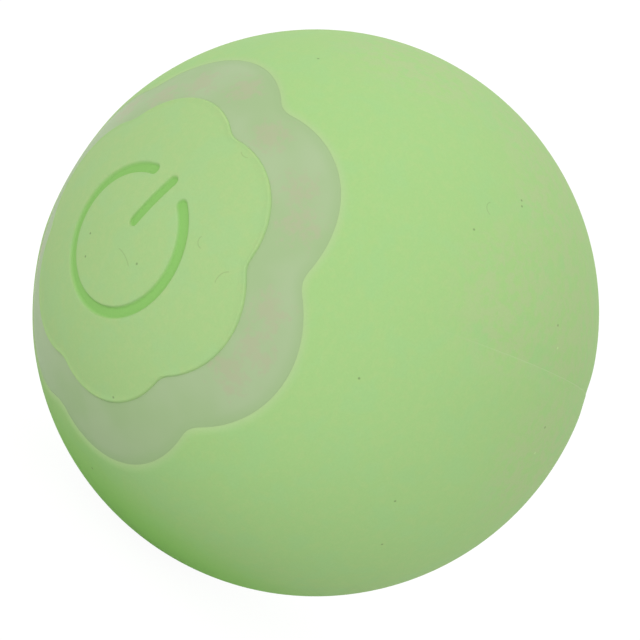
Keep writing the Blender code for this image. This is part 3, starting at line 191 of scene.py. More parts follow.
# %% Build a finish round its shader
class Finish(Nodes):
    """A procedural material round one Principled BSDF."""

    def __init__(self, name, **constants):
        self.material = bpy.data.materials.new(name)
        super().__init__(self.material)
        self.shader = self.tree.nodes["Principled BSDF"]
        for socket, value in constants.items():
            self.shader.inputs[socket.replace("_", " ")].default_value = value
        self.spot = self.node("ShaderNodeTexCoord", output="Object")

    def noise(self, grain, detail, roughness, spot=None):
        """Soft random pattern whose features are about one grain across, from 0 to 1."""
        inputs = {"Vector": spot or self.spot, "Scale": 1 / grain, "Detail": detail, "Roughness": roughness}
        return self.node("ShaderNodeTexNoise", {}, inputs)

    def blend(self, share, first, second):
        """Mixes two colours, by the Mix node's sockets for colours, which are 6 and 7 and output 2."""
        return self.node("ShaderNodeMix", {"data_type": "RGBA"}, {0: share, 6: first, 7: second}, output=2)

    def carried(self, attribute):
        """The number that the form carries at each vertex under this name."""
        return self.node("ShaderNodeAttribute", {"attribute_name": attribute}, output="Fac")

    def distance(self, place):
        """Distance from the surface to a place."""
        settings = {"operation": "DISTANCE"}
        return self.node("ShaderNodeVectorMath", settings, {0: self.spot, 1: place}, output="Value")

    def feed(self, socket, wire):
        """Drives one of the shader's sockets with a pattern."""
        self.link(wire, "Principled BSDF", socket)

    def relief(self, height, depth, strength):
        """Raises the surface by a pattern from 0 to 1, depth metres high."""
        inputs = {"Height": height, "Distance": depth, "Strength": strength}
        self.feed("Normal", self.node("ShaderNodeBump", {}, inputs))


# %% [markdown]
# ## Camera
#
# The photo shows the ball from its front and right, tilted. The button's axis and the way up of the power
# sign were measured in the picture, as unit vectors with x to the right of the picture, y up it and z
# towards the viewer. Those two and their cross product are the world's axes seen by the camera. Written as
# the rows of a matrix, they make one whose columns are the camera's own axes in the world. Turning the
# camera leaves the ball and its joints straight in their own frame.

# %% Work out how the camera stands
button_in_picture = Vector((-0.6712, 0.2623, 0.6934)).normalized()
sign_up_in_picture = Vector((0.588, 0.758, 0.282))
port_in_picture = -button_in_picture
sign_up_in_picture -= sign_up_in_picture.dot(port_in_picture) * port_in_picture
sign_up_in_picture.normalize()
right_in_picture = port_in_picture.cross(sign_up_in_picture)
camera_axes = Matrix((right_in_picture, port_in_picture, sign_up_in_picture))
towards_viewer = camera_axes @ Vector((0, 0, 1))
print("camera stands towards", [round(value, 3) for value in towards_viewer])

# %% [markdown]
# The ball hardly shows any perspective, so the camera stands well back with a long lens. The line from the
# camera to the ball's rim leaves the line to its middle by a slope. That slope and the ball's radius in the
# picture, in pixels, give the length of the lens, and the ball's centre in the picture gives a small shift.

# %% Place the camera
PICTURE_SIDE = 640
CAMERA_DISTANCE = 0.6
BALL_RADIUS_PIXELS = 283.55
BALL_CENTRE_PIXELS = (315.6, 312.85)
rim_slope = BALL_RADIUS / math.sqrt(CAMERA_DISTANCE**2 - BALL_RADIUS**2)
camera_data = bpy.data.cameras.new("camera")
camera_data.lens = BALL_RADIUS_PIXELS / PICTURE_SIDE * camera_data.sensor_width / rim_slope
camera_data.shift_x = (PICTURE_SIDE / 2 - BALL_CENTRE_PIXELS[0]) / PICTURE_SIDE
camera_data.shift_y = (BALL_CENTRE_PIXELS[1] - PICTURE_SIDE / 2) / PICTURE_SIDE
camera = bpy.data.objects.new("camera", camera_data)
camera_place = towards_viewer * CAMERA_DISTANCE
camera.matrix_world = Matrix.Translation(camera_place) @ camera_axes.to_4x4()
bpy.context.scene.collection.objects.link(camera)
bpy.context.scene.camera = camera
bpy.context.scene.view_settings.view_transform = "Standard"
print("lens", round(camera_data.lens, 1), "mm")

# %% [markdown]
# Some marks have to lie where the photo shows them, such as a speck of dust. Instead of guessing their place
# on the ball, the camera is used backwards: a line through the mark's pixel meets the ball at that place.


# %% Find the place on the ball behind a pixel
def on_ball(pixel):
    """The place where the camera's line through this pixel meets the ball's skin."""
    slope_per_pixel = rim_slope / BALL_RADIUS_PIXELS
    across = (pixel[0] - BALL_CENTRE_PIXELS[0]) * slope_per_pixel
    up = (BALL_CENTRE_PIXELS[1] - pixel[1]) * slope_per_pixel
    line = (camera_axes @ Vector((across, up, -1))).normalized()
    along = camera_place.dot(line)
    return camera_place - line * (along + math.sqrt(along**2 - CAMERA_DISTANCE**2 + BALL_RADIUS**2))


middle_place = on_ball(BALL_CENTRE_PIXELS)
print("the middle of the ball's outline lies at", [millimetres(part) for part in middle_place], "mm")

# %% [markdown]
# ## Light
#
# The photo was taken in flat light: an even brightness all round, two broad soft lamps in front of the ball,
# and a third behind its top, which pales the upper rim. The world gives the first. Its white is only what
# the camera sees behind the ball, straight, in metal or through glass, and not more light on the ball.

# %% Light the world evenly
WORLD_LIGHT = 0.664
world = bpy.data.worlds.new("even_light")
bpy.context.scene.world = world
sky = Nodes(world)
sky.tree.nodes["Background"].inputs["Color"].default_value = (1, 1, 1, 1)
sky.link(WORLD_LIGHT + (1 - WORLD_LIGHT) * sky.seen(), "Background", "Strength")
print("world light", WORLD_LIGHT, "and 1 where it is seen")

# %% [markdown]
# Point lamps would draw hard spots on the skin. Three large square lamps, about as wide as they are far
# away, shade it as softly as the photo does. Their directions are given as they are seen in the picture.

# %% Hang the soft lamps
LAMP_DISTANCE = 0.5
LAMP_SIDE = 0.4


def hang_lamp(name, in_picture, power):
    """A square soft lamp in this direction of the picture, turned to the ball."""
    direction = camera_axes @ Vector(in_picture).normalized()
    data = bpy.data.lights.new(name, "AREA")
    data.shape = "SQUARE"
    data.size = LAMP_SIDE
    data.energy = power
    lamp = bpy.data.objects.new(name, data)
    lamp.location = direction * LAMP_DISTANCE
    lamp.rotation_mode = "QUATERNION"
    lamp.rotation_quaternion = (-direction).to_track_quat("-Z", "Y")
    bpy.context.scene.collection.objects.link(lamp)
    print(name, power, "W at", [round(part, 2) for part in lamp.location])


hang_lamp("upper_left_lamp", (-0.30, 0.50, 0.81), power=0.70)
hang_lamp("lower_right_lamp", (0.45, -0.28, 0.85), power=0.46)
hang_lamp("rim_lamp", (0.43, 0.86, -0.26), power=0.57)

# %% [markdown]
# ## Floor
#
# The ball lies on a plain pale floor, which gives its underside some light back. One large flat face is
# enough for that. It is stage, marked as a backdrop, so that the dressed ball's box leaves it out.

# %% Lay the floor
FLOOR_SIDE = 6.0
floor_form = bmesh.new()
bmesh.ops.create_grid(floor_form, x_segments=1, y_segments=1, size=FLOOR_SIDE / 2)
bmesh.ops.translate(floor_form, verts=floor_form.verts, vec=(0, 0, -BALL_RADIUS))
floor_mesh = bpy.data.meshes.new("floor")
floor_form.to_mesh(floor_mesh)
floor_form.free()
floor = bpy.data.objects.new("floor", floor_mesh)
bpy.context.scene.collection.objects.link(floor)
floor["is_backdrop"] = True
print("floor of", FLOOR_SIDE, "m at a height of", millimetres(floor_mesh.vertices[0].co.z), "mm")

# %% [markdown]
# To the camera the floor is nearly white. Painting it brighter would throw more light on the ball, so a share
# of glow is mixed in, for the rays that are seen only. The rest of the mix keeps the ball's shadow.

# %% Paint the floor white, with a trace of the shadow left in
FLOOR_GREY = (0.68, 0.68, 0.68, 1)
FLOOR_GLOW = 1.12
FLOOR_GLOW_SHARE = 0.85
paint = Finish("floor_white", Base_Color=FLOOR_GREY, Roughness=0.9, Specular_IOR_Level=0.0)
glow = paint.node("ShaderNodeEmission", {}, {"Strength": FLOOR_GLOW})
surface = Wire(paint, paint.shader.outputs["BSDF"])
mixed = paint.node("ShaderNodeMixShader", {}, {0: paint.seen() * FLOOR_GLOW_SHARE, 1: surface, 2: glow})
paint.link(mixed, "Material Output", "Surface")
floor_mesh.materials.append(paint.material)
print("floor painted with", paint.material.name)

# %% [markdown]
# ## Dust and hairs
#
# Silicone holds dust, and the photo shows specks and a few short hairs on it. Real grains of dust would be
# far too small to model, and an image of them isn't needed either: a speck is a small round patch of another
# shade at its place, so the distance to the nearest speck is all that the finish has to know.

# %% Name the specks and measure to the nearest
DARK_DUST_PIXELS = [
    (90.3, 233.3),
    (85.4, 256.4),
    (113.3, 397.3),
    (92.2, 468.2),
    (359.1, 378.4),
    (382.1, 544.4),
    (395.1, 501.2),
    (545.1, 427.4),
    (474.1, 229.5),
    (558.0, 325.4),
    (318.2, 58.6),
    (521.7, 200.4),
    (522.0, 206.3),
    (136.8, 263.8),
]
PALE_DUST_PIXELS = [(535.0, 453.1), (558.0, 348.0)]


def nearest(finish, pixels):
    """Distance from the surface to the nearest of these pixels' places."""
    gaps = [finish.distance(on_ball(pixel)) for pixel in pixels]
    shortest = gaps[0]
    for gap in gaps[1:]:
        shortest = shortest.maths("MINIMUM", gap)
    return shortest


print(len(DARK_DUST_PIXELS), "dark specks and", len(PALE_DUST_PIXELS), "pale ones")

# %% [markdown]
# A hair is a thin arc. Three of its pixels, its ends and its middle, fix a circle in space, whose centre
# follows from cross products of the lines between them. The surface lies on the hair where its distance from
# that centre is the circle's radius, and its distance from the hair's middle no more than half the hair.

# %% Name the hairs and find the surface beside them
HAIR_HALF_WIDTH = 0.00002
HAIR_EDGE = 0.00006
HAIR_END_FADE = 0.0001
PAD_HAIR_PIXELS = [
    ((118.6, 248.0), (124.8, 255.7), (128.1, 264.9)),
    ((203.5, 235.4), (197.9, 242.4), (200.6, 248.1)),
    ((215.4, 281.7), (220.3, 274.7), (229.4, 271.9)),
    ((241.3, 152.5), (243.2, 155.9), (247.7, 157.8)),
]
SLEEVE_HAIR_PIXELS = [((489.4, 213.7), (486.9, 206.9), (494.3, 203.1))]


def off_hairs(finish, hairs):
    """1 beside these hairs and 0 on them."""
    clear = 1
    for hair in hairs:
        start, middle, end = (on_ball(pixel) for pixel in hair)
        bend, chord = middle - start, end - start
        normal = bend.cross(chord)
        to_centre = chord.length_squared * normal.cross(bend) + bend.length_squared * chord.cross(normal)
        centre = start + to_centre / (2 * normal.length_squared)
        off_circle = (finish.distance(centre) - (start - centre).length).maths("ABSOLUTE")
        aside = off_circle.between(HAIR_HALF_WIDTH, HAIR_EDGE)
        half_hair = chord.length / 2
        beyond = finish.distance(middle).between(half_hair, half_hair + HAIR_END_FADE)
        clear = clear * aside.maths("MAXIMUM", beyond)
    return clear


print(len(PAD_HAIR_PIXELS), "hairs on the pad and", len(SLEEVE_HAIR_PIXELS), "on the sleeve")

# %% [markdown]
# ## Silicone
#
# The sleeve, the pad and the stopper are one batch of matte silicone. One flat green would look like paint,
# so its colour is built up from patterns: a faint mottle of yellower and cooler green, a rosy bloom towards
# the ball's far side that also paints the pinkish sheen of its rim, and a deeper green on the underside,
# which is painted shade where the ball meets the floor. Each change is a set of factors on the silicone's own
# green, so sleeve and pad stay one family. A pattern is cut to a band, within which it rises from nothing to
# the whole, and its share says how far the colour then changes.

# %% Colour the silicone
SKIN_GREEN = (0.405, 0.657, 0.252, 1)
PAD_GREEN = (0.417, 0.640, 0.262, 1)
YELLOWER = (1.08, 1.0, 1.02, 1)
COOLER = (0.95, 1.005, 1.07, 1)
# rosy patches, which also paint the pinkish sheen of the rim
ROSY_SHEEN = (1.13, 0.955, 1.13, 1)
# painted shade: a deeper, darker green for the underside, towards the floor
UNDERSIDE_SHADE = (0.81, 1.09, 0.58, 1)
ROSY_SHEEN_PIXELS = [(560.0, 215.3), (575.1, 330.2), (540.2, 455.5), (545.9, 160.2), (519.9, 300.3), (420.0, 61.8)]
ROSY_SHEEN_REACH = (0.0030, 0.0085)
UNDERSIDE_START = -0.0135
UNDERSIDE_END = -0.0200
MOTTLE_BAND, MOTTLE_SHARE = (0.46, 0.62), 0.6
CLOUD_BAND, CLOUD_SHARE = (0.46, 0.64), 0.5
BLOOM_BAND, BLOOM_SHARE = (0.42, 0.58), 0.9


def changed(own_green, factors):
    """The own green with each channel taken by its factor."""
    return [own * factor for own, factor in zip(own_green, factors)]


def mottled_green_and_painted_light(finish, own_green):
    """The silicone's mottled green, with the painted sheen of its rim and the painted shade of its underside,
    before dust, hairs and the places of another colour.
    """
    mottle = finish.noise(grain=0.0006, detail=4.0, roughness=0.65)
    cloud = finish.noise(grain=0.0030, detail=3.0, roughness=0.6)
    bloom = finish.noise(grain=0.0011, detail=5.0, roughness=0.75)
    yellow_share = mottle.between(*MOTTLE_BAND) * MOTTLE_SHARE
    cool_share = (1 - cloud).between(*CLOUD_BAND) * CLOUD_SHARE
    # rosy patches near the rim, partly a painted sheen
    near_rosy_sheen = 1 - nearest(finish, ROSY_SHEEN_PIXELS).between(*ROSY_SHEEN_REACH)
    rosy_sheen_share = near_rosy_sheen * bloom.between(*BLOOM_BAND) * BLOOM_SHARE
    colour = finish.blend(yellow_share, own_green, changed(own_green, YELLOWER))
    colour = finish.blend(cool_share, colour, changed(own_green, COOLER))
    colour = finish.blend(rosy_sheen_share, colour, changed(own_green, ROSY_SHEEN))
    # painted shade on the underside, where the ball meets the floor
    height = finish.node("ShaderNodeSeparateXYZ", {}, {"Vector": finish.spot}, output="Z")
    underside_shade_share = 1 - height.between(UNDERSIDE_END, UNDERSIDE_START)
    return finish.blend(underside_shade_share, colour, changed(own_green, UNDERSIDE_SHADE))


print("rosy green:", [round(channel, 3) for channel in changed(SKIN_GREEN, ROSY_SHEEN)[:3]])

# %% [markdown]
# Two places have another colour. At the thin lip of the window the green is paler, partly because the skin is
# thin and partly as a painted highlight on the lip's rounded edge; along the parting of the mould the paler
# green is a painted highlight on its step. In the groove of the power sign, light reaches the bottom mostly
# through the silicone, so a deeper green is painted there as the groove's shade. Each form carries how far it
# is so, from 0 to 1, as an attribute of its vertices.
# The fine grain is a bump, since it is far smaller than a pixel of the picture.

# %% Mix the silicone
# a paler green: the thin lip's own paleness, and a painted highlight on the lip and the parting
THIN_SKIN_AND_HIGHLIGHT_GREEN = (0.470, 0.658, 0.310, 1)
# a deeper green: painted shade at the bottom of the groove
GROOVE_SHADE_GREEN = (0.300, 0.600, 0.165, 1)
SHEEN_TINT = (1.0, 0.85, 0.80, 1)
DARK_SPECK = (0.00005, 0.00013)
PALE_SPECK = (0.00004, 0.00012)
DARK_DUST_SHADE = 0.62
PALE_DUST_SHADE = 1.25
HAIR_SHADE = 0.86
GRAIN_CONTRAST = 0.08
SKIN_ROUGHNESS = 0.60
ROUGHNESS_RISE = 0.10
SKIN_RELIEF = 0.000012


def shaded(shade, off_mark):
    """A factor for the colour: shade on the mark, and 1 where off_mark is 1."""
    return shade + (1 - shade) * off_mark


def silicone(name, own_green, attribute, other_green, hairs):
    """Matte green, which turns to the other green where the form's attribute rises to 1."""
    finish = Finish(
        name, Specular_IOR_Level=0.02, Sheen_Weight=0.09, Sheen_Roughness=0.5, Sheen_Tint=SHEEN_TINT
    )
    green = mottled_green_and_painted_light(finish, own_green)
    # the other green is painted light: a highlight at the sleeve's lip and parting, shade in the pad's groove
    green = finish.blend(finish.carried(attribute), green, other_green)
    grain = finish.noise(grain=0.00016, detail=2.0, roughness=0.6)
    shade = 1 - GRAIN_CONTRAST / 2 + GRAIN_CONTRAST * grain
    shade = shade * shaded(DARK_DUST_SHADE, nearest(finish, DARK_DUST_PIXELS).between(*DARK_SPECK))
    shade = shade * shaded(PALE_DUST_SHADE, nearest(finish, PALE_DUST_PIXELS).between(*PALE_SPECK))
    shade = shade * shaded(HAIR_SHADE, off_hairs(finish, hairs))
    green = finish.node("ShaderNodeVectorMath", {"operation": "SCALE"}, {0: green, "Scale": shade})
    finish.feed("Base Color", green)
    finish.feed("Roughness", SKIN_ROUGHNESS + ROUGHNESS_RISE * grain)
    finish.relief(grain, depth=SKIN_RELIEF, strength=0.6)
    print(name, "has", len(finish.tree.nodes), "nodes")
    return finish.material


sleeve_silicone = silicone("sleeve_silicone_matte", SKIN_GREEN, "thin_skin_and_highlight", THIN_SKIN_AND_HIGHLIGHT_GREEN, SLEEVE_HAIR_PIXELS)
pad_silicone = silicone("pad_silicone_matte", PAD_GREEN, "groove", GROOVE_SHADE_GREEN, PAD_HAIR_PIXELS)

# %% [markdown]
# ## Milky plastic
#
# The ring is milky plastic that spreads the light of three small lamps behind it. With the lamps off it
# looks a greyer green than the silicone, smoother, and faintly pink in patches. A shader with light running
# inside the plastic would be truer, but it can't be baked for export, so its look is painted. Next to the
# sleeve it is painted darker and greener, as the shade of the sleeve's lip and the green light that the
# sleeve throws on it. The form carries its distance from the sleeve in metres as an attribute, which this
# finish reads.

# %% Mix the milky plastic
MILK_GREEN = (0.388, 0.540, 0.273, 1)
PALE_MILK = (0.427, 0.560, 0.316, 1)
PINK_MILK = (0.476, 0.488, 0.316, 1)
# painted shade: darker and greener next to the sleeve, for its lip's shadow and its green light
SLEEVE_SHADE_MILK = (0.368, 0.529, 0.256, 1)
SLEEVE_SHADE_REACH, SLEEVE_SHADE_SHARE = 0.0011, 0.7
PINK_REACH, PINK_SHARE = (0.0002, 0.0020), 0.62
PINK_RAGGEDNESS = 0.0060
MILK_CLOUD_BAND = (0.35, 0.65)
MILK_ROUGHNESS = 0.42
HAZE_RELIEF = 0.000010
PINK_PIXELS = [
    (127.3, 107.4),
    (164.5, 92.5),
    (202.3, 80.5),
    (243.3, 87.5),
    (270.2, 135.5),
    (300.3, 190.4),
    (300.2, 225.6),
    (270.1, 310.5),
    (254.2, 350.3),
    (231.1, 374.3),
    (38.3, 255.5),
]


def milky_plastic():
    """Pale plastic with soft clouds, ragged pink patches and a greener rim of painted shade."""
    finish = Finish("milky_ring_plastic", Specular_IOR_Level=0.15)
    cloud = finish.noise(grain=0.0060, detail=2.0, roughness=0.5)
    ragged = finish.noise(grain=0.0007, detail=3.0, roughness=0.65)
    haze = finish.noise(grain=0.0004, detail=2.0, roughness=0.5)
    to_pink = nearest(finish, PINK_PIXELS) + PINK_RAGGEDNESS * (ragged - 0.5)
    pink_share = (1 - to_pink.between(*PINK_REACH)) * PINK_SHARE
    # painted shade and green light from the sleeve, along the ring's outer edge
    sleeve_shade_share = (1 - finish.carried("to_sleeve").between(0, SLEEVE_SHADE_REACH)) * SLEEVE_SHADE_SHARE
    colour = finish.blend(cloud.between(*MILK_CLOUD_BAND), MILK_GREEN, PALE_MILK)
    colour = finish.blend(pink_share, colour, PINK_MILK)
    colour = finish.blend(sleeve_shade_share, colour, SLEEVE_SHADE_MILK)
    finish.feed("Base Color", colour)
    finish.feed("Roughness", MILK_ROUGHNESS + ROUGHNESS_RISE * haze)
    finish.relief(haze, depth=HAZE_RELIEF, strength=0.4)
    print("milky plastic has", len(finish.tree.nodes), "nodes")
    return finish.material


milk_plastic = milky_plastic()

# %% [markdown]
# ## Building round a meridian
#
# Every visible piece is a body of revolution, and the edges of three of them were then drawn out into six
# lobes. Cutting the lobes out of a ball with Booleans would leave ragged faces along them. So each piece is
# made the same way instead: a profile is spun round the roll axis, and its vertices slide along their
# meridians until the round edge has become the lobed one.

# %% Spin a profile
SAME_PLACE = 1e-7


def spun(profile, steps, closed=True):
    """Spins (radius, height) points round the plan's z axis. An open profile starts and ends on the axis."""
    form = bmesh.new()
    corners = [form.verts.new((radius, 0, height)) for radius, height in profile]
    edges = [form.edges.new(pair) for pair in zip(corners, corners[1:])]
    if closed:
        edges.append(form.edges.new((corners[-1], corners[0])))
    bmesh.ops.spin(
        form,
        geom=corners + edges,
        cent=(0, 0, 0),
        axis=(0, 0, 1),
        angle=2 * math.pi,
        steps=steps,
        use_merge=True,
    )
    bmesh.ops.remove_doubles(form, verts=form.verts, dist=SAME_PLACE)
    print("spun a profile of", len(profile), "points into", len(form.faces), "faces")
    return form


# %% [markdown]
# A profile is easiest to give as the ball is: by the distance from its centre and the angle from the
# button's pole. Its stretches are arcs at one distance, and its edges are rounded with quarters of a circle.


# %% Draw stretches of a profile
def meridian(points):
    """Turns (distance from the centre, angle from the button's pole) into (radius, height)."""
    return [(reach * math.sin(polar), reach * math.cos(polar)) for reach, polar in points]


def arc(reach, start, end, steps, skip_first=False):
    """Points of a meridian at one distance from the centre."""
    first = 1 if skip_first else 0
    return [(reach, start + (end - start) * step / steps) for step in range(first, steps + 1)]


def quarter(steps):
    """Sine and cosine at each step of a quarter turn, both ends with it, to round an edge."""
    turns = [math.pi / 2 * step / steps for step in range(steps + 1)]
    return [(math.sin(turn), math.cos(turn)) for turn in turns]


def on_sphere(radius, reach=BALL_RADIUS):
    """Height of a sphere's top over its centre at this radius."""
    return math.sqrt(reach**2 - radius**2)


print("halfway out, the skin stands", millimetres(on_sphere(BALL_RADIUS / 2)), "mm over the ball's centre")

# %% [markdown]
# The window's outline is what six overlapping circles round the axis enclose, as in a flower. Where two
# circles meet, the last stretch before the notch is bent over smoothly, as a moulding's corner is: it leaves
# the circle with the circle's own slope, which a small step back along it gives, and arrives with none.

# %% Outline the six lobes
LOBES = 6
WINDOW_LOBES = (0.0070, 0.0088)
PAD_LOBES = (0.0050, 0.0068)
SOFT_NOTCH_SHARE = 0.12
SLOPE_PROBE = 0.001


def lobed_radius(lobes, azimuth):
    """Outline of circles, given by how far out they stand and their radius, with softened notches."""
    offset, lobe_radius = lobes
    spacing = 2 * math.pi / LOBES
    turn = abs((azimuth + spacing / 2) % spacing - spacing / 2)
    soft_start = spacing / 2 * (1 - SOFT_NOTCH_SHARE)

    def circle(angle):
        return offset * math.cos(angle) + math.sqrt(lobe_radius**2 - (offset * math.sin(angle)) ** 2)

    if turn <= soft_start:
        return circle(turn)
    nudge = soft_start * SLOPE_PROBE
    slope = (circle(soft_start) - circle(soft_start - nudge)) / nudge
    into = turn - soft_start
    return circle(soft_start) + slope * (into - into**2 / (spacing * SOFT_NOTCH_SHARE))


def window_polar(azimuth):
    """Angle from the button's pole to the edge of the sleeve's window."""
    return math.asin(lobed_radius(WINDOW_LOBES, azimuth) / BALL_RADIUS)


notch = math.pi / LOBES
window_radii = [millimetres(lobed_radius(WINDOW_LOBES, azimuth)) for azimuth in (0, notch)]
print("the window reaches", window_radii, "mm at a lobe and at a notch")

# %% [markdown]
# A vertex keeps its distance from the ball's centre while it slides, so every face stays on its sphere. What
# lies between the pole and the edge slides by its share.


# %% Slide a spun form out to the lobes
def plan_azimuth(place):
    """Angle round the roll axis."""
    return math.atan2(place.y, place.x)


def slide_to_lobes(form, stops):
    """Slides each vertex along its meridian.

    Each stop is a pair of functions: the angle from the pole in the spun form, at this distance from the
    centre, and the angle that it goes to, at this distance and azimuth. Between stops it is shared out."""
    furthest = 0
    for vertex in form.verts:
        across = math.hypot(vertex.co.x, vertex.co.y)
        if across < SAME_PLACE:
            continue
        reach = vertex.co.length
        spun_polar = math.atan2(across, vertex.co.z)
        azimuth = plan_azimuth(vertex.co)
        spots = [(base(reach), goal(reach, azimuth)) for base, goal in stops]
        spots = [(0, 0), *spots, (math.pi, math.pi)]
        for (low, low_goal), (high, high_goal) in zip(spots, spots[1:]):
            if spun_polar <= high:
                break
        polar = low_goal + (high_goal - low_goal) * (spun_polar - low) / (high - low)
        side = reach * math.sin(polar) / across
        vertex.co = (vertex.co.x * side, vertex.co.y * side, reach * math.cos(polar))
        furthest = max(furthest, abs(polar - spun_polar) * reach)
    print("vertices slid by up to", millimetres(furthest), "mm")


# %% [markdown]
# A finished form is turned into the world, smoothed except at its sharp edges, and rides the body that moves
# it. It stands for its CAD node, which then isn't shown.

# %% Finish a piece and seat it on its body
CREASE_DEGREES = 40.0


def seat(name, form, finish, body, node, crease_degrees=CREASE_DEGREES):
    """Turns a form into the frame of the CAD model and lets it stand for its CAD node."""
    bmesh.ops.recalc_face_normals(form, faces=form.faces)
    bmesh.ops.transform(form, matrix=TO_WORLD, verts=form.verts)
    mesh = bpy.data.meshes.new(name)
    form.to_mesh(mesh)
    form.free()
    mesh.shade_smooth()
    mesh.set_sharp_from_angle(angle=math.radians(crease_degrees))
    mesh.materials.append(finish)
    piece = bpy.data.objects.new(name, mesh)
    bpy.context.scene.collection.objects.link(piece)
    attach(piece, body)
    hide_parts(node)
    print(name, "has", len(mesh.polygons), "faces and rides", body)


# %% [markdown]
# ## Sleeve
#
# The sleeve is a hollow silicone ball 1.2 mm thick. Its window has a soft lip, which falls with the square
# of the distance from the skin to the light ring, and the round hole for the stopper has a small one. The
# profile runs over the skin and back along the inner wall, so that one spin gives a closed wall. A lip is
# drawn from its edge to the skin, so the hole's one is taken backwards, without the point that the skin has.

# %% Spin the sleeve
SLEEVE_STEPS = 288
SKIN_RINGS = 64
INNER_RINGS = 36
ROUND_WINDOW = math.radians(45.0)
LIP_WIDTH = 0.0008
LIP_DEPTH = 0.00011
LIP_RINGS = 8
STOPPER_HOLE_RADIUS = 0.0079
HOLE_LIP = 0.00025


def lip(edge_polar, width, depth, outwards):
    """A parabola from a window's edge up to the skin, as the angle from the pole grows or shrinks."""
    points = []
    for step in range(LIP_RINGS + 1):
        share = step / LIP_RINGS
        polar = edge_polar + outwards * width / BALL_RADIUS * share
        points.append((BALL_RADIUS - depth * (1 - share) ** 2, polar))
    return points


lip_end = ROUND_WINDOW + LIP_WIDTH / BALL_RADIUS
hole_polar = math.pi - math.asin(STOPPER_HOLE_RADIUS / BALL_RADIUS)
inner_hole_polar = math.pi - math.asin(STOPPER_HOLE_RADIUS / WALL_RADIUS)
skin_end = hole_polar - HOLE_LIP / BALL_RADIUS
sleeve_profile = lip(ROUND_WINDOW, LIP_WIDTH, LIP_DEPTH, 1)
sleeve_profile += arc(BALL_RADIUS, lip_end, skin_end, SKIN_RINGS, skip_first=True)
sleeve_profile += lip(hole_polar, HOLE_LIP, HOLE_LIP, -1)[-2::-1]
sleeve_profile += arc(WALL_RADIUS, inner_hole_polar, ROUND_WINDOW, INNER_RINGS)
sleeve_form = spun(meridian(sleeve_profile), SLEEVE_STEPS)

# %% [markdown]
# The round window is drawn out into the lobes with its whole lip, so that the lip keeps its width all along
# the outline. Far from the window nothing moves.

# %% Draw the window out into lobes
CALM_POLAR = math.radians(82.0)
slide_to_lobes(
    sleeve_form,
    [
        (lambda reach: ROUND_WINDOW, lambda reach, azimuth: window_polar(azimuth)),
        (lambda reach: lip_end, lambda reach, azimuth: window_polar(azimuth) + LIP_WIDTH / BALL_RADIUS),
        (lambda reach: CALM_POLAR, lambda reach, azimuth: CALM_POLAR),
    ],
)

# %% [markdown]
# Where the two halves of the mould met, a parting runs round the ball through both holes. Three cuts through
# the mesh, a hair apart, give it edges exactly along that line, which a finer grid of the whole ball would
# only come near.

# %% Cut edges along the parting
PARTING_AZIMUTH = math.radians(29.2)
PARTING_HALF_WIDTH = 0.00006
parting_normal = Vector((-math.sin(PARTING_AZIMUTH), math.cos(PARTING_AZIMUTH), 0))
for offset in (-PARTING_HALF_WIDTH, 0, PARTING_HALF_WIDTH):
    bmesh.ops.bisect_plane(
        sleeve_form,
        geom=[*sleeve_form.verts, *sleeve_form.edges, *sleeve_form.faces],
        plane_co=parting_normal * offset,
        plane_no=parting_normal,
        dist=SAME_PLACE,
    )
print("sleeve has", len(sleeve_form.faces), "faces after the cuts")

# %% [markdown]
# The sleeve's finish reads from an attribute of the form how thin the skin is, together with the painted
# highlight of the lip's rounded edge. It is 1 at the window's edge and falls to 0 over the width of the lip.

# %% Mark the thin lip and its painted highlight
LIP_TINT_POWER = 1.6


def limited(share):
    """Keeps a share between 0 and 1."""
    return min(1, max(0, share))


thin_skin_and_highlight = sleeve_form.verts.layers.float.new("thin_skin_and_highlight")
for vertex in sleeve_form.verts:
    if vertex.co.length > BALL_RADIUS - 2 * LIP_DEPTH:
        polar = math.acos(vertex.co.z / vertex.co.length)
        off_edge = (polar - window_polar(plan_azimuth(vertex.co))) * BALL_RADIUS
        # paler green at the lip: thin skin, and a painted highlight on its rounded edge
        vertex[thin_skin_and_highlight] = limited(1 - off_edge / LIP_WIDTH) ** LIP_TINT_POWER
print(sum(vertex[thin_skin_and_highlight] > 0 for vertex in sleeve_form.verts), "vertices are marked as thin")

# %% [markdown]
# Along the parting the skin sinks in a wide dip a tenth of a millimetre deep, as silicone does where it
# shrinks away from its seam, and one side stands higher by a step of a few hundredths. Both fade in from the
# window, as in the photo. The line itself gets the paler green, as a painted highlight on its step. The cuts'
# new vertices lie on the flat faces, a little under the skin, so from the start of the dip on they are lifted
# onto it.

# %% Sink the parting and raise its step
PARTING_DIP = 0.00010
PARTING_DIP_REACH = 0.0013
PARTING_DIP_START = math.radians(60)
PARTING_STEP = 0.00003
PARTING_STEP_REACH = 0.0008
PARTING_LINE_START = math.radians(68)
PARTING_FADE = math.radians(24)
line_vertices = 0
for vertex in sleeve_form.verts:
    reach = vertex.co.length
    polar = math.acos(vertex.co.z / reach)
    if polar <= PARTING_DIP_START or reach <= WALL_RADIUS + SLEEVE_THICKNESS / 2:
        continue
    off_line = vertex.co.dot(parting_normal)
    dip_share = limited((polar - PARTING_DIP_START) / PARTING_FADE)
    line_share = limited((polar - PARTING_LINE_START) / PARTING_FADE)
    height = -PARTING_DIP * dip_share * math.exp(-((off_line / PARTING_DIP_REACH) ** 2))
    if off_line < -PARTING_HALF_WIDTH / 2:
        height += PARTING_STEP * line_share * math.exp(off_line / PARTING_STEP_REACH)
    # the parting's line gets the paler green as a painted highlight
    if abs(off_line) < PARTING_HALF_WIDTH / 2:
        vertex[thin_skin_and_highlight] = line_share
        line_vertices += 1
    skin_reach = BALL_RADIUS if polar < skin_end else reach
    vertex.co *= (skin_reach + height) / reach
print("the parting's line has", line_vertices, "vertices")
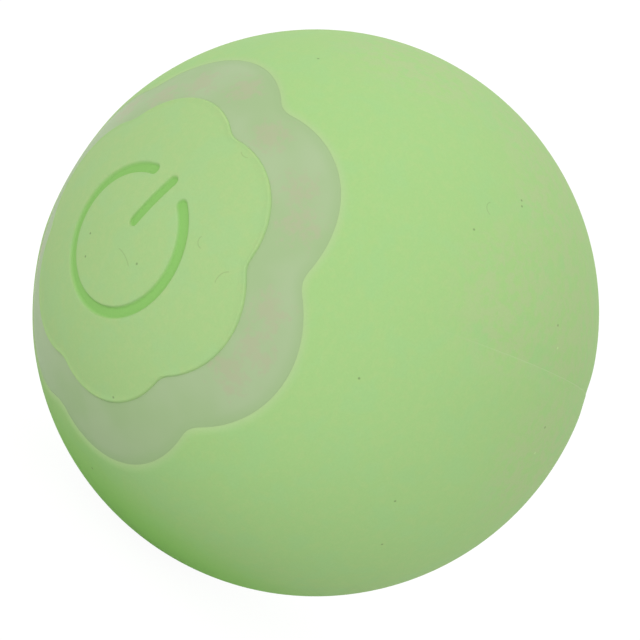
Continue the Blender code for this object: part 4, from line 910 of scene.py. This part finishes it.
seat("sleeve", sleeve_form, sleeve_silicone, "ball_shell", "silicone_cover")

# %% [markdown]
# ## Ring
#
# The ring's face lies only a tenth of a millimetre below the skin, so that at the left of the photo it makes
# the ball's outline. A flange under the sleeve holds it. Its inner edge is rounded, as a moulding's is, and
# the seams beside it are closed but for a hair.

# %% Spin the ring
RING_STEPS = 288
RING_SINK = 0.00012
RING_FACE_RADIUS = BALL_RADIUS - RING_SINK
RING_FLOOR_RADIUS = 0.0187
RING_FLANGE_POLAR = math.radians(50.0)
RING_EDGE = 0.00003
RING_EDGE_STEPS = 4
RING_FACE_RINGS = 15
RING_FLANGE_RINGS = 4
RING_FLOOR_RINGS = 10
PAD_SEAM = 0.00001
SLEEVE_SEAM = 0.000005
ROUND_PAD_RADIUS = 0.0116


def ring_inner(reach, pad_radius):
    """Angle from the pole to the ring's inner wall, which stands upright round the pad."""
    return math.asin((pad_radius + PAD_SEAM) / reach)


round_outer = ROUND_WINDOW - SLEEVE_SEAM / RING_FACE_RADIUS
round_inner = ring_inner(RING_FACE_RADIUS, ROUND_PAD_RADIUS)
face_start = round_inner + RING_EDGE / RING_FACE_RADIUS
floor_end = ring_inner(RING_FLOOR_RADIUS, ROUND_PAD_RADIUS)
ring_profile = []
for sine, cosine in quarter(RING_EDGE_STEPS):
    inset = RING_EDGE / RING_FACE_RADIUS * (1 - cosine)
    ring_profile.append((RING_FACE_RADIUS - RING_EDGE * (1 - sine), round_inner + inset))
ring_profile += arc(RING_FACE_RADIUS, face_start, round_outer, RING_FACE_RINGS, skip_first=True)
ring_profile += arc(SHELL_RADIUS, round_outer, RING_FLANGE_POLAR, RING_FLANGE_RINGS)
ring_profile += arc(RING_FLOOR_RADIUS, RING_FLANGE_POLAR, floor_end, RING_FLOOR_RINGS)
ring_form = spun(meridian(ring_profile), RING_STEPS)

# %% [markdown]
# The ring has two lobed edges, the pad's inside and the window's outside, and both are drawn out in one
# slide. Its flange under the sleeve stays round.

# %% Draw the ring out into lobes
slide_to_lobes(
    ring_form,
    [
        (
            lambda reach: ring_inner(reach, ROUND_PAD_RADIUS),
            lambda reach, azimuth: ring_inner(reach, lobed_radius(PAD_LOBES, azimuth)),
        ),
        (
            lambda reach: round_outer,
            lambda reach, azimuth: window_polar(azimuth) - SLEEVE_SEAM / RING_FACE_RADIUS,
        ),
        (lambda reach: RING_FLANGE_POLAR, lambda reach, azimuth: RING_FLANGE_POLAR),
    ],
)

# %% [markdown]
# Last, the ring's finish wants to know how far each place is from the sleeve, for the painted shade and
# green light that the sleeve lends it. The form knows that, so it is written down at each vertex.

# %% Mark the distance to the sleeve and seat the ring
to_sleeve = ring_form.verts.layers.float.new("to_sleeve")
for vertex in ring_form.verts:
    polar = math.acos(vertex.co.z / vertex.co.length)
    vertex[to_sleeve] = max(0, window_polar(plan_azimuth(vertex.co)) - polar) * RING_FACE_RADIUS
widest = max(vertex[to_sleeve] for vertex in ring_form.verts)
print("the ring is up to", millimetres(widest), "mm wide")
seat("ring", ring_form, milk_plastic, "ball_shell", "light_ring")

# %% [markdown]
# ## Pad
#
# The pad is a lobed cap of silicone with the power sign cut into it: an open ring, and a bar in its gap. The
# sign could be cut with a Boolean, but that leaves long thin faces that shade badly on a curve. The spun
# grid is made fine where the sign is instead, and carries the groove by itself.

# %% Spin the pad
PAD_STEPS = 576
PAD_EDGE = 0.00020
PAD_EDGE_STEPS = 6
PAD_BACK_RINGS = 14
POLE_SPACING = 0.00015
POLE_RINGS = 5
SIGN_START = 0.0009
SIGN_SPACING = 0.00008
SIGN_RINGS = 73
RIM_START = 0.0067
RIM_RINGS = 12


def stations():
    """Radii of the pad's rings of vertices, closer together where the sign is."""
    radii = [POLE_SPACING * step for step in range(1, POLE_RINGS + 1)]
    radii += [SIGN_START + SIGN_SPACING * step for step in range(SIGN_RINGS)]
    rim_width = ROUND_PAD_RADIUS - PAD_EDGE - RIM_START
    radii += [RIM_START + rim_width * step / RIM_RINGS for step in range(1, RIM_RINGS + 1)]
    return radii


pad_profile = [(0, BALL_RADIUS)] + [(radius, on_sphere(radius)) for radius in stations()]
edge_height = on_sphere(ROUND_PAD_RADIUS - PAD_EDGE) - PAD_EDGE
for sine, cosine in quarter(PAD_EDGE_STEPS)[1:]:
    pad_profile.append((ROUND_PAD_RADIUS - PAD_EDGE * (1 - sine), edge_height + PAD_EDGE * cosine))
back_start = math.asin(ROUND_PAD_RADIUS / PAD_BACK_RADIUS)
pad_profile += meridian(arc(PAD_BACK_RADIUS, back_start, 0, PAD_BACK_RINGS))
pad_form = spun(pad_profile, PAD_STEPS, closed=False)

# %% [markdown]
# Only the pad's rim is drawn out into lobes. What lies inside this radius, and so the grid under the sign,
# keeps its place.

# %% Draw the pad's rim out into lobes
STEADY_RADIUS = 0.0068
slide_to_lobes(
    pad_form,
    [
        (
            lambda reach: math.asin(STEADY_RADIUS / reach),
            lambda reach, azimuth: math.asin(STEADY_RADIUS / reach),
        ),
        (
            lambda reach: math.asin(ROUND_PAD_RADIUS / reach),
            lambda reach, azimuth: math.asin(lobed_radius(PAD_LOBES, azimuth) / reach),
        ),
    ],
)

# %% [markdown]
# The sign is two centre lines, an open circle and a straight bar. How deep a vertex sinks depends only on
# its distance from the nearer of them, which also gives the strokes their round ends.

# %% Measure the distance to the power sign
SIGN_RADIUS = 0.00562
SIGN_HALF_GAP = math.radians(23.9)
BAR_START = 0.0016
BAR_END = 0.0057


def distance_to_sign(x, y):
    """Distance in the plan from a point to the nearest centre line of the sign."""
    to_bar = math.hypot(x, y - min(max(y, BAR_START), BAR_END))
    off_gap = abs(math.atan2(x, y))
    if off_gap >= SIGN_HALF_GAP:
        to_circle = abs(math.hypot(x, y) - SIGN_RADIUS)
    else:
        end_x = SIGN_RADIUS * math.sin(SIGN_HALF_GAP)
        end_y = SIGN_RADIUS * math.cos(SIGN_HALF_GAP)
        to_circle = math.hypot(abs(x) - end_x, y - end_y)
    return min(to_bar, to_circle)


print("the pad's pole is", millimetres(distance_to_sign(0, 0)), "mm from the sign")

# %% [markdown]
# The groove is a quarter of a millimetre deep. Its walls lean over a narrow band, and the depth there follows
# a smooth step, because silicone comes out of its mould with soft corners. The same share marks the groove
# for the finish, which paints the groove's shade as a deeper green.

# %% Cut the sign and seat the pad
SIGN_DEPTH = 0.00025
SIGN_HALF_STROKE = 0.00041
WALL_INSIDE = 0.00008
WALL_OUTSIDE = 0.00006
PAD_CREASE_DEGREES = 75.0
OFF_THE_SKIN = 1e-6
groove = pad_form.verts.layers.float.new("groove")
for vertex in pad_form.verts:
    reach = vertex.co.length
    if reach < BALL_RADIUS - OFF_THE_SKIN:
        continue
    off_stroke = distance_to_sign(vertex.co.x, vertex.co.y) - SIGN_HALF_STROKE
    share = limited((off_stroke + WALL_INSIDE) / (WALL_INSIDE + WALL_OUTSIDE))
    vertex[groove] = 1 - share**2 * (3 - 2 * share)
    vertex.co *= 1 - SIGN_DEPTH * vertex[groove] / reach
print(sum(vertex[groove] > 0 for vertex in pad_form.verts), "vertices lie in the groove")
seat("pad", pad_form, pad_silicone, "button", "button_pad", PAD_CREASE_DEGREES)

# %% [markdown]
# ## Stopper
#
# At the pole opposite the button, a round silicone stopper closes the charging port. It is flush with the
# sleeve, its edge is rounded, and its collar, which grips the port, is hollow from inside. The profile
# starts at the pole of the skin and ends on the axis again inside the collar.

# %% Spin the stopper
STOPPER_STEPS = 96
STOPPER_FACE_RINGS = 22
STOPPER_EDGE_STEPS = 5
STOPPER_CUP_RINGS = 8
STOPPER_RADIUS = 0.0076
STOPPER_EDGE = 0.0003
COLLAR_RADIUS = 0.0061
COLLAR_WALL = 0.0011
COLLAR_END = -0.0178
face_radius = STOPPER_RADIUS - STOPPER_EDGE
face_polar = math.pi - math.asin(face_radius / BALL_RADIUS)
stopper_profile = meridian(arc(BALL_RADIUS, math.pi, face_polar, STOPPER_FACE_RINGS))
edge_height = on_sphere(face_radius) - STOPPER_EDGE
for sine, cosine in quarter(STOPPER_EDGE_STEPS)[1:]:
    stopper_profile.append((face_radius + STOPPER_EDGE * sine, -edge_height - STOPPER_EDGE * cosine))
cup_radius = COLLAR_RADIUS - COLLAR_WALL
stopper_profile += [
    (STOPPER_RADIUS, -on_sphere(STOPPER_RADIUS, WALL_RADIUS)),
    (COLLAR_RADIUS, -on_sphere(COLLAR_RADIUS, WALL_RADIUS)),
    (COLLAR_RADIUS, COLLAR_END),
    (cup_radius, COLLAR_END),
]
for step in range(STOPPER_CUP_RINGS, -1, -1):
    radius = cup_radius * step / STOPPER_CUP_RINGS
    stopper_profile.append((radius, -on_sphere(radius, WALL_RADIUS)))
stopper_form = spun(stopper_profile, STOPPER_STEPS, closed=False)

# %% [markdown]
# A shallow dip at the stopper's rim takes a fingernail. It is pressed in as a soft bell shape, so it needs no
# edge of its own.

# %% Press in the nail dip and seat the stopper
NAIL_DIP = 0.00045
NAIL_DIP_REACH = 0.0013
dip_centre = Vector((0, -STOPPER_RADIUS, -on_sphere(STOPPER_RADIUS)))
for vertex in stopper_form.verts:
    if vertex.co.length > BALL_RADIUS - 2 * STOPPER_EDGE:
        away = (vertex.co - dip_centre).length / NAIL_DIP_REACH
        vertex.co *= 1 - NAIL_DIP * math.exp(-(away**2)) / BALL_RADIUS
lowest = min(vertex.co.z for vertex in stopper_form.verts)
print("the stopper's skin reaches", millimetres(lowest), "mm along the roll axis")
seat("stopper", stopper_form, sleeve_silicone, "plug", "port_plug")

# %% [markdown]
# ## The pieces inside
#
# The pod, its gears and its boards keep their CAD shapes, and each gets the finish of its real material. All
# of those share a colour that drifts a little in soft patches, and a fine grain that shows in roughness and
# relief, so one helper makes them from a few numbers. Stretching the grain along one axis gives the lines of
# drawn metal.

# %% Write a helper for moulded and metal finishes
PATCH_GRAINS = 12
PATCH_BAND = (0.3, 0.7)
ROUGHNESS_DRIFT = 0.16


def workshop_finish(name, colour, drift, roughness, grain, relief, metallic=0.0, stretch=(1, 1, 1)):
    """A finish whose colour gets up to drift lighter in soft patches, with a grain of this size."""
    finish = Finish(name, Metallic=metallic)
    patches = finish.noise(grain=grain * PATCH_GRAINS, detail=3.0, roughness=0.6)
    lighter = [min(1.0, channel * (1 + drift)) for channel in colour]
    finish.feed("Base Color", finish.blend(patches.between(*PATCH_BAND), (*colour, 1), (*lighter, 1)))
    spot = finish.node("ShaderNodeMapping", {}, {"Vector": finish.spot, "Scale": stretch})
    fine = finish.noise(grain=grain, detail=3.0, roughness=0.6, spot=spot)
    finish.feed("Roughness", roughness + ROUGHNESS_DRIFT * (fine - 0.5))
    finish.relief(fine, depth=relief, strength=0.5)
    print(name, "made, with a grain of", millimetres(grain), "mm")
    return finish.material


# %% [markdown]
# The half shells and the pod are moulded in white and black plastic, with the fine grain that spark erosion
# leaves in a mould. Gears are moulded in plain nylon, which is ivory.

# %% Finish the plastics
shell_plastic = workshop_finish(
    "shell_plastic_white", (0.80, 0.82, 0.78), drift=0.05, roughness=0.42, grain=0.00030, relief=0.000008
)
pod_plastic = workshop_finish(
    "pod_plastic_black", (0.028, 0.029, 0.033), drift=0.35, roughness=0.50, grain=0.00012, relief=0.000010
)
gear_nylon = workshop_finish(
    "gear_nylon_ivory", (0.80, 0.78, 0.69), drift=0.06, roughness=0.45, grain=0.00040, relief=0.000006
)

# %% [markdown]
# Shafts, screws and the motor's can are steel, drawn or turned, with fine lines along one axis. The bushes
# are sintered bronze, whose pores show as a grain, and the counterweight is a rough casting of zinc.

# %% Finish the metals
drawn_steel = workshop_finish(
    "drawn_steel",
    (0.56, 0.56, 0.58),
    drift=0.12,
    roughness=0.30,
    grain=0.00010,
    relief=0.000003,
    metallic=1.0,
    stretch=(1, 0.06, 1),
)
sintered_bronze = workshop_finish(
    "sintered_bronze",
    (0.60, 0.40, 0.20),
    drift=0.25,
    roughness=0.38,
    grain=0.00010,
    relief=0.000010,
    metallic=1.0,
)
cast_zinc = workshop_finish(
    "cast_zinc",
    (0.42, 0.42, 0.44),
    drift=0.18,
    roughness=0.52,
    grain=0.00035,
    relief=0.000020,
    metallic=1.0,
)

# %% [markdown]
# The boards wear green lacquer over woven laminate, chips are black resin, and the lamps are small drops of
# yellowish resin. The battery is wrapped in foil, which creases in wide folds and so has the coarsest relief.

# %% Finish the electronics
board_lacquer = workshop_finish(
    "board_lacquer", (0.015, 0.150, 0.060), drift=0.60, roughness=0.32, grain=0.00025, relief=0.000006
)
chip_resin = workshop_finish(
    "chip_resin_black", (0.018, 0.018, 0.020), drift=0.30, roughness=0.50, grain=0.00008, relief=0.000005
)
lamp_resin = workshop_finish(
    "lamp_resin", (0.86, 0.80, 0.45), drift=0.12, roughness=0.22, grain=0.00060, relief=0.000004
)
cell_foil = workshop_finish(
    "cell_foil",
    (0.68, 0.69, 0.71),
    drift=0.10,
    roughness=0.34,
    grain=0.00150,
    relief=0.000060,
    metallic=0.85,
)

# %% [markdown]
# The record says which material slot each CAD node has, so one loop gives every node its finish.

# %% Give every CAD node its finish
finishes = {
    "white_plastic": shell_plastic,
    "black_plastic": pod_plastic,
    "gear_nylon": gear_nylon,
    "steel": drawn_steel,
    "bronze": sintered_bronze,
    "zinc": cast_zinc,
    "board_laminate": board_lacquer,
    "chip_resin": chip_resin,
    "battery_foil": cell_foil,
    "led_resin": lamp_resin,
    "green_silicone": sleeve_silicone,
    "milky_plastic": milk_plastic,
}
for row in frame["record"]["subparts"]:
    node = frame["nodes"][row["node"]]
    node.data.materials.clear()
    node.data.materials.append(finishes[row["material_slot"]])

# %% [markdown]
# ## The dressed ball's size
#
# The dressed ball has to fill the same box as the CAD model, so its box is printed.

# %% Print the dressed box
dressed_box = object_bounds()
print("dressed box", [millimetres(side) for side in dressed_box[1] - dressed_box[0]], "mm")
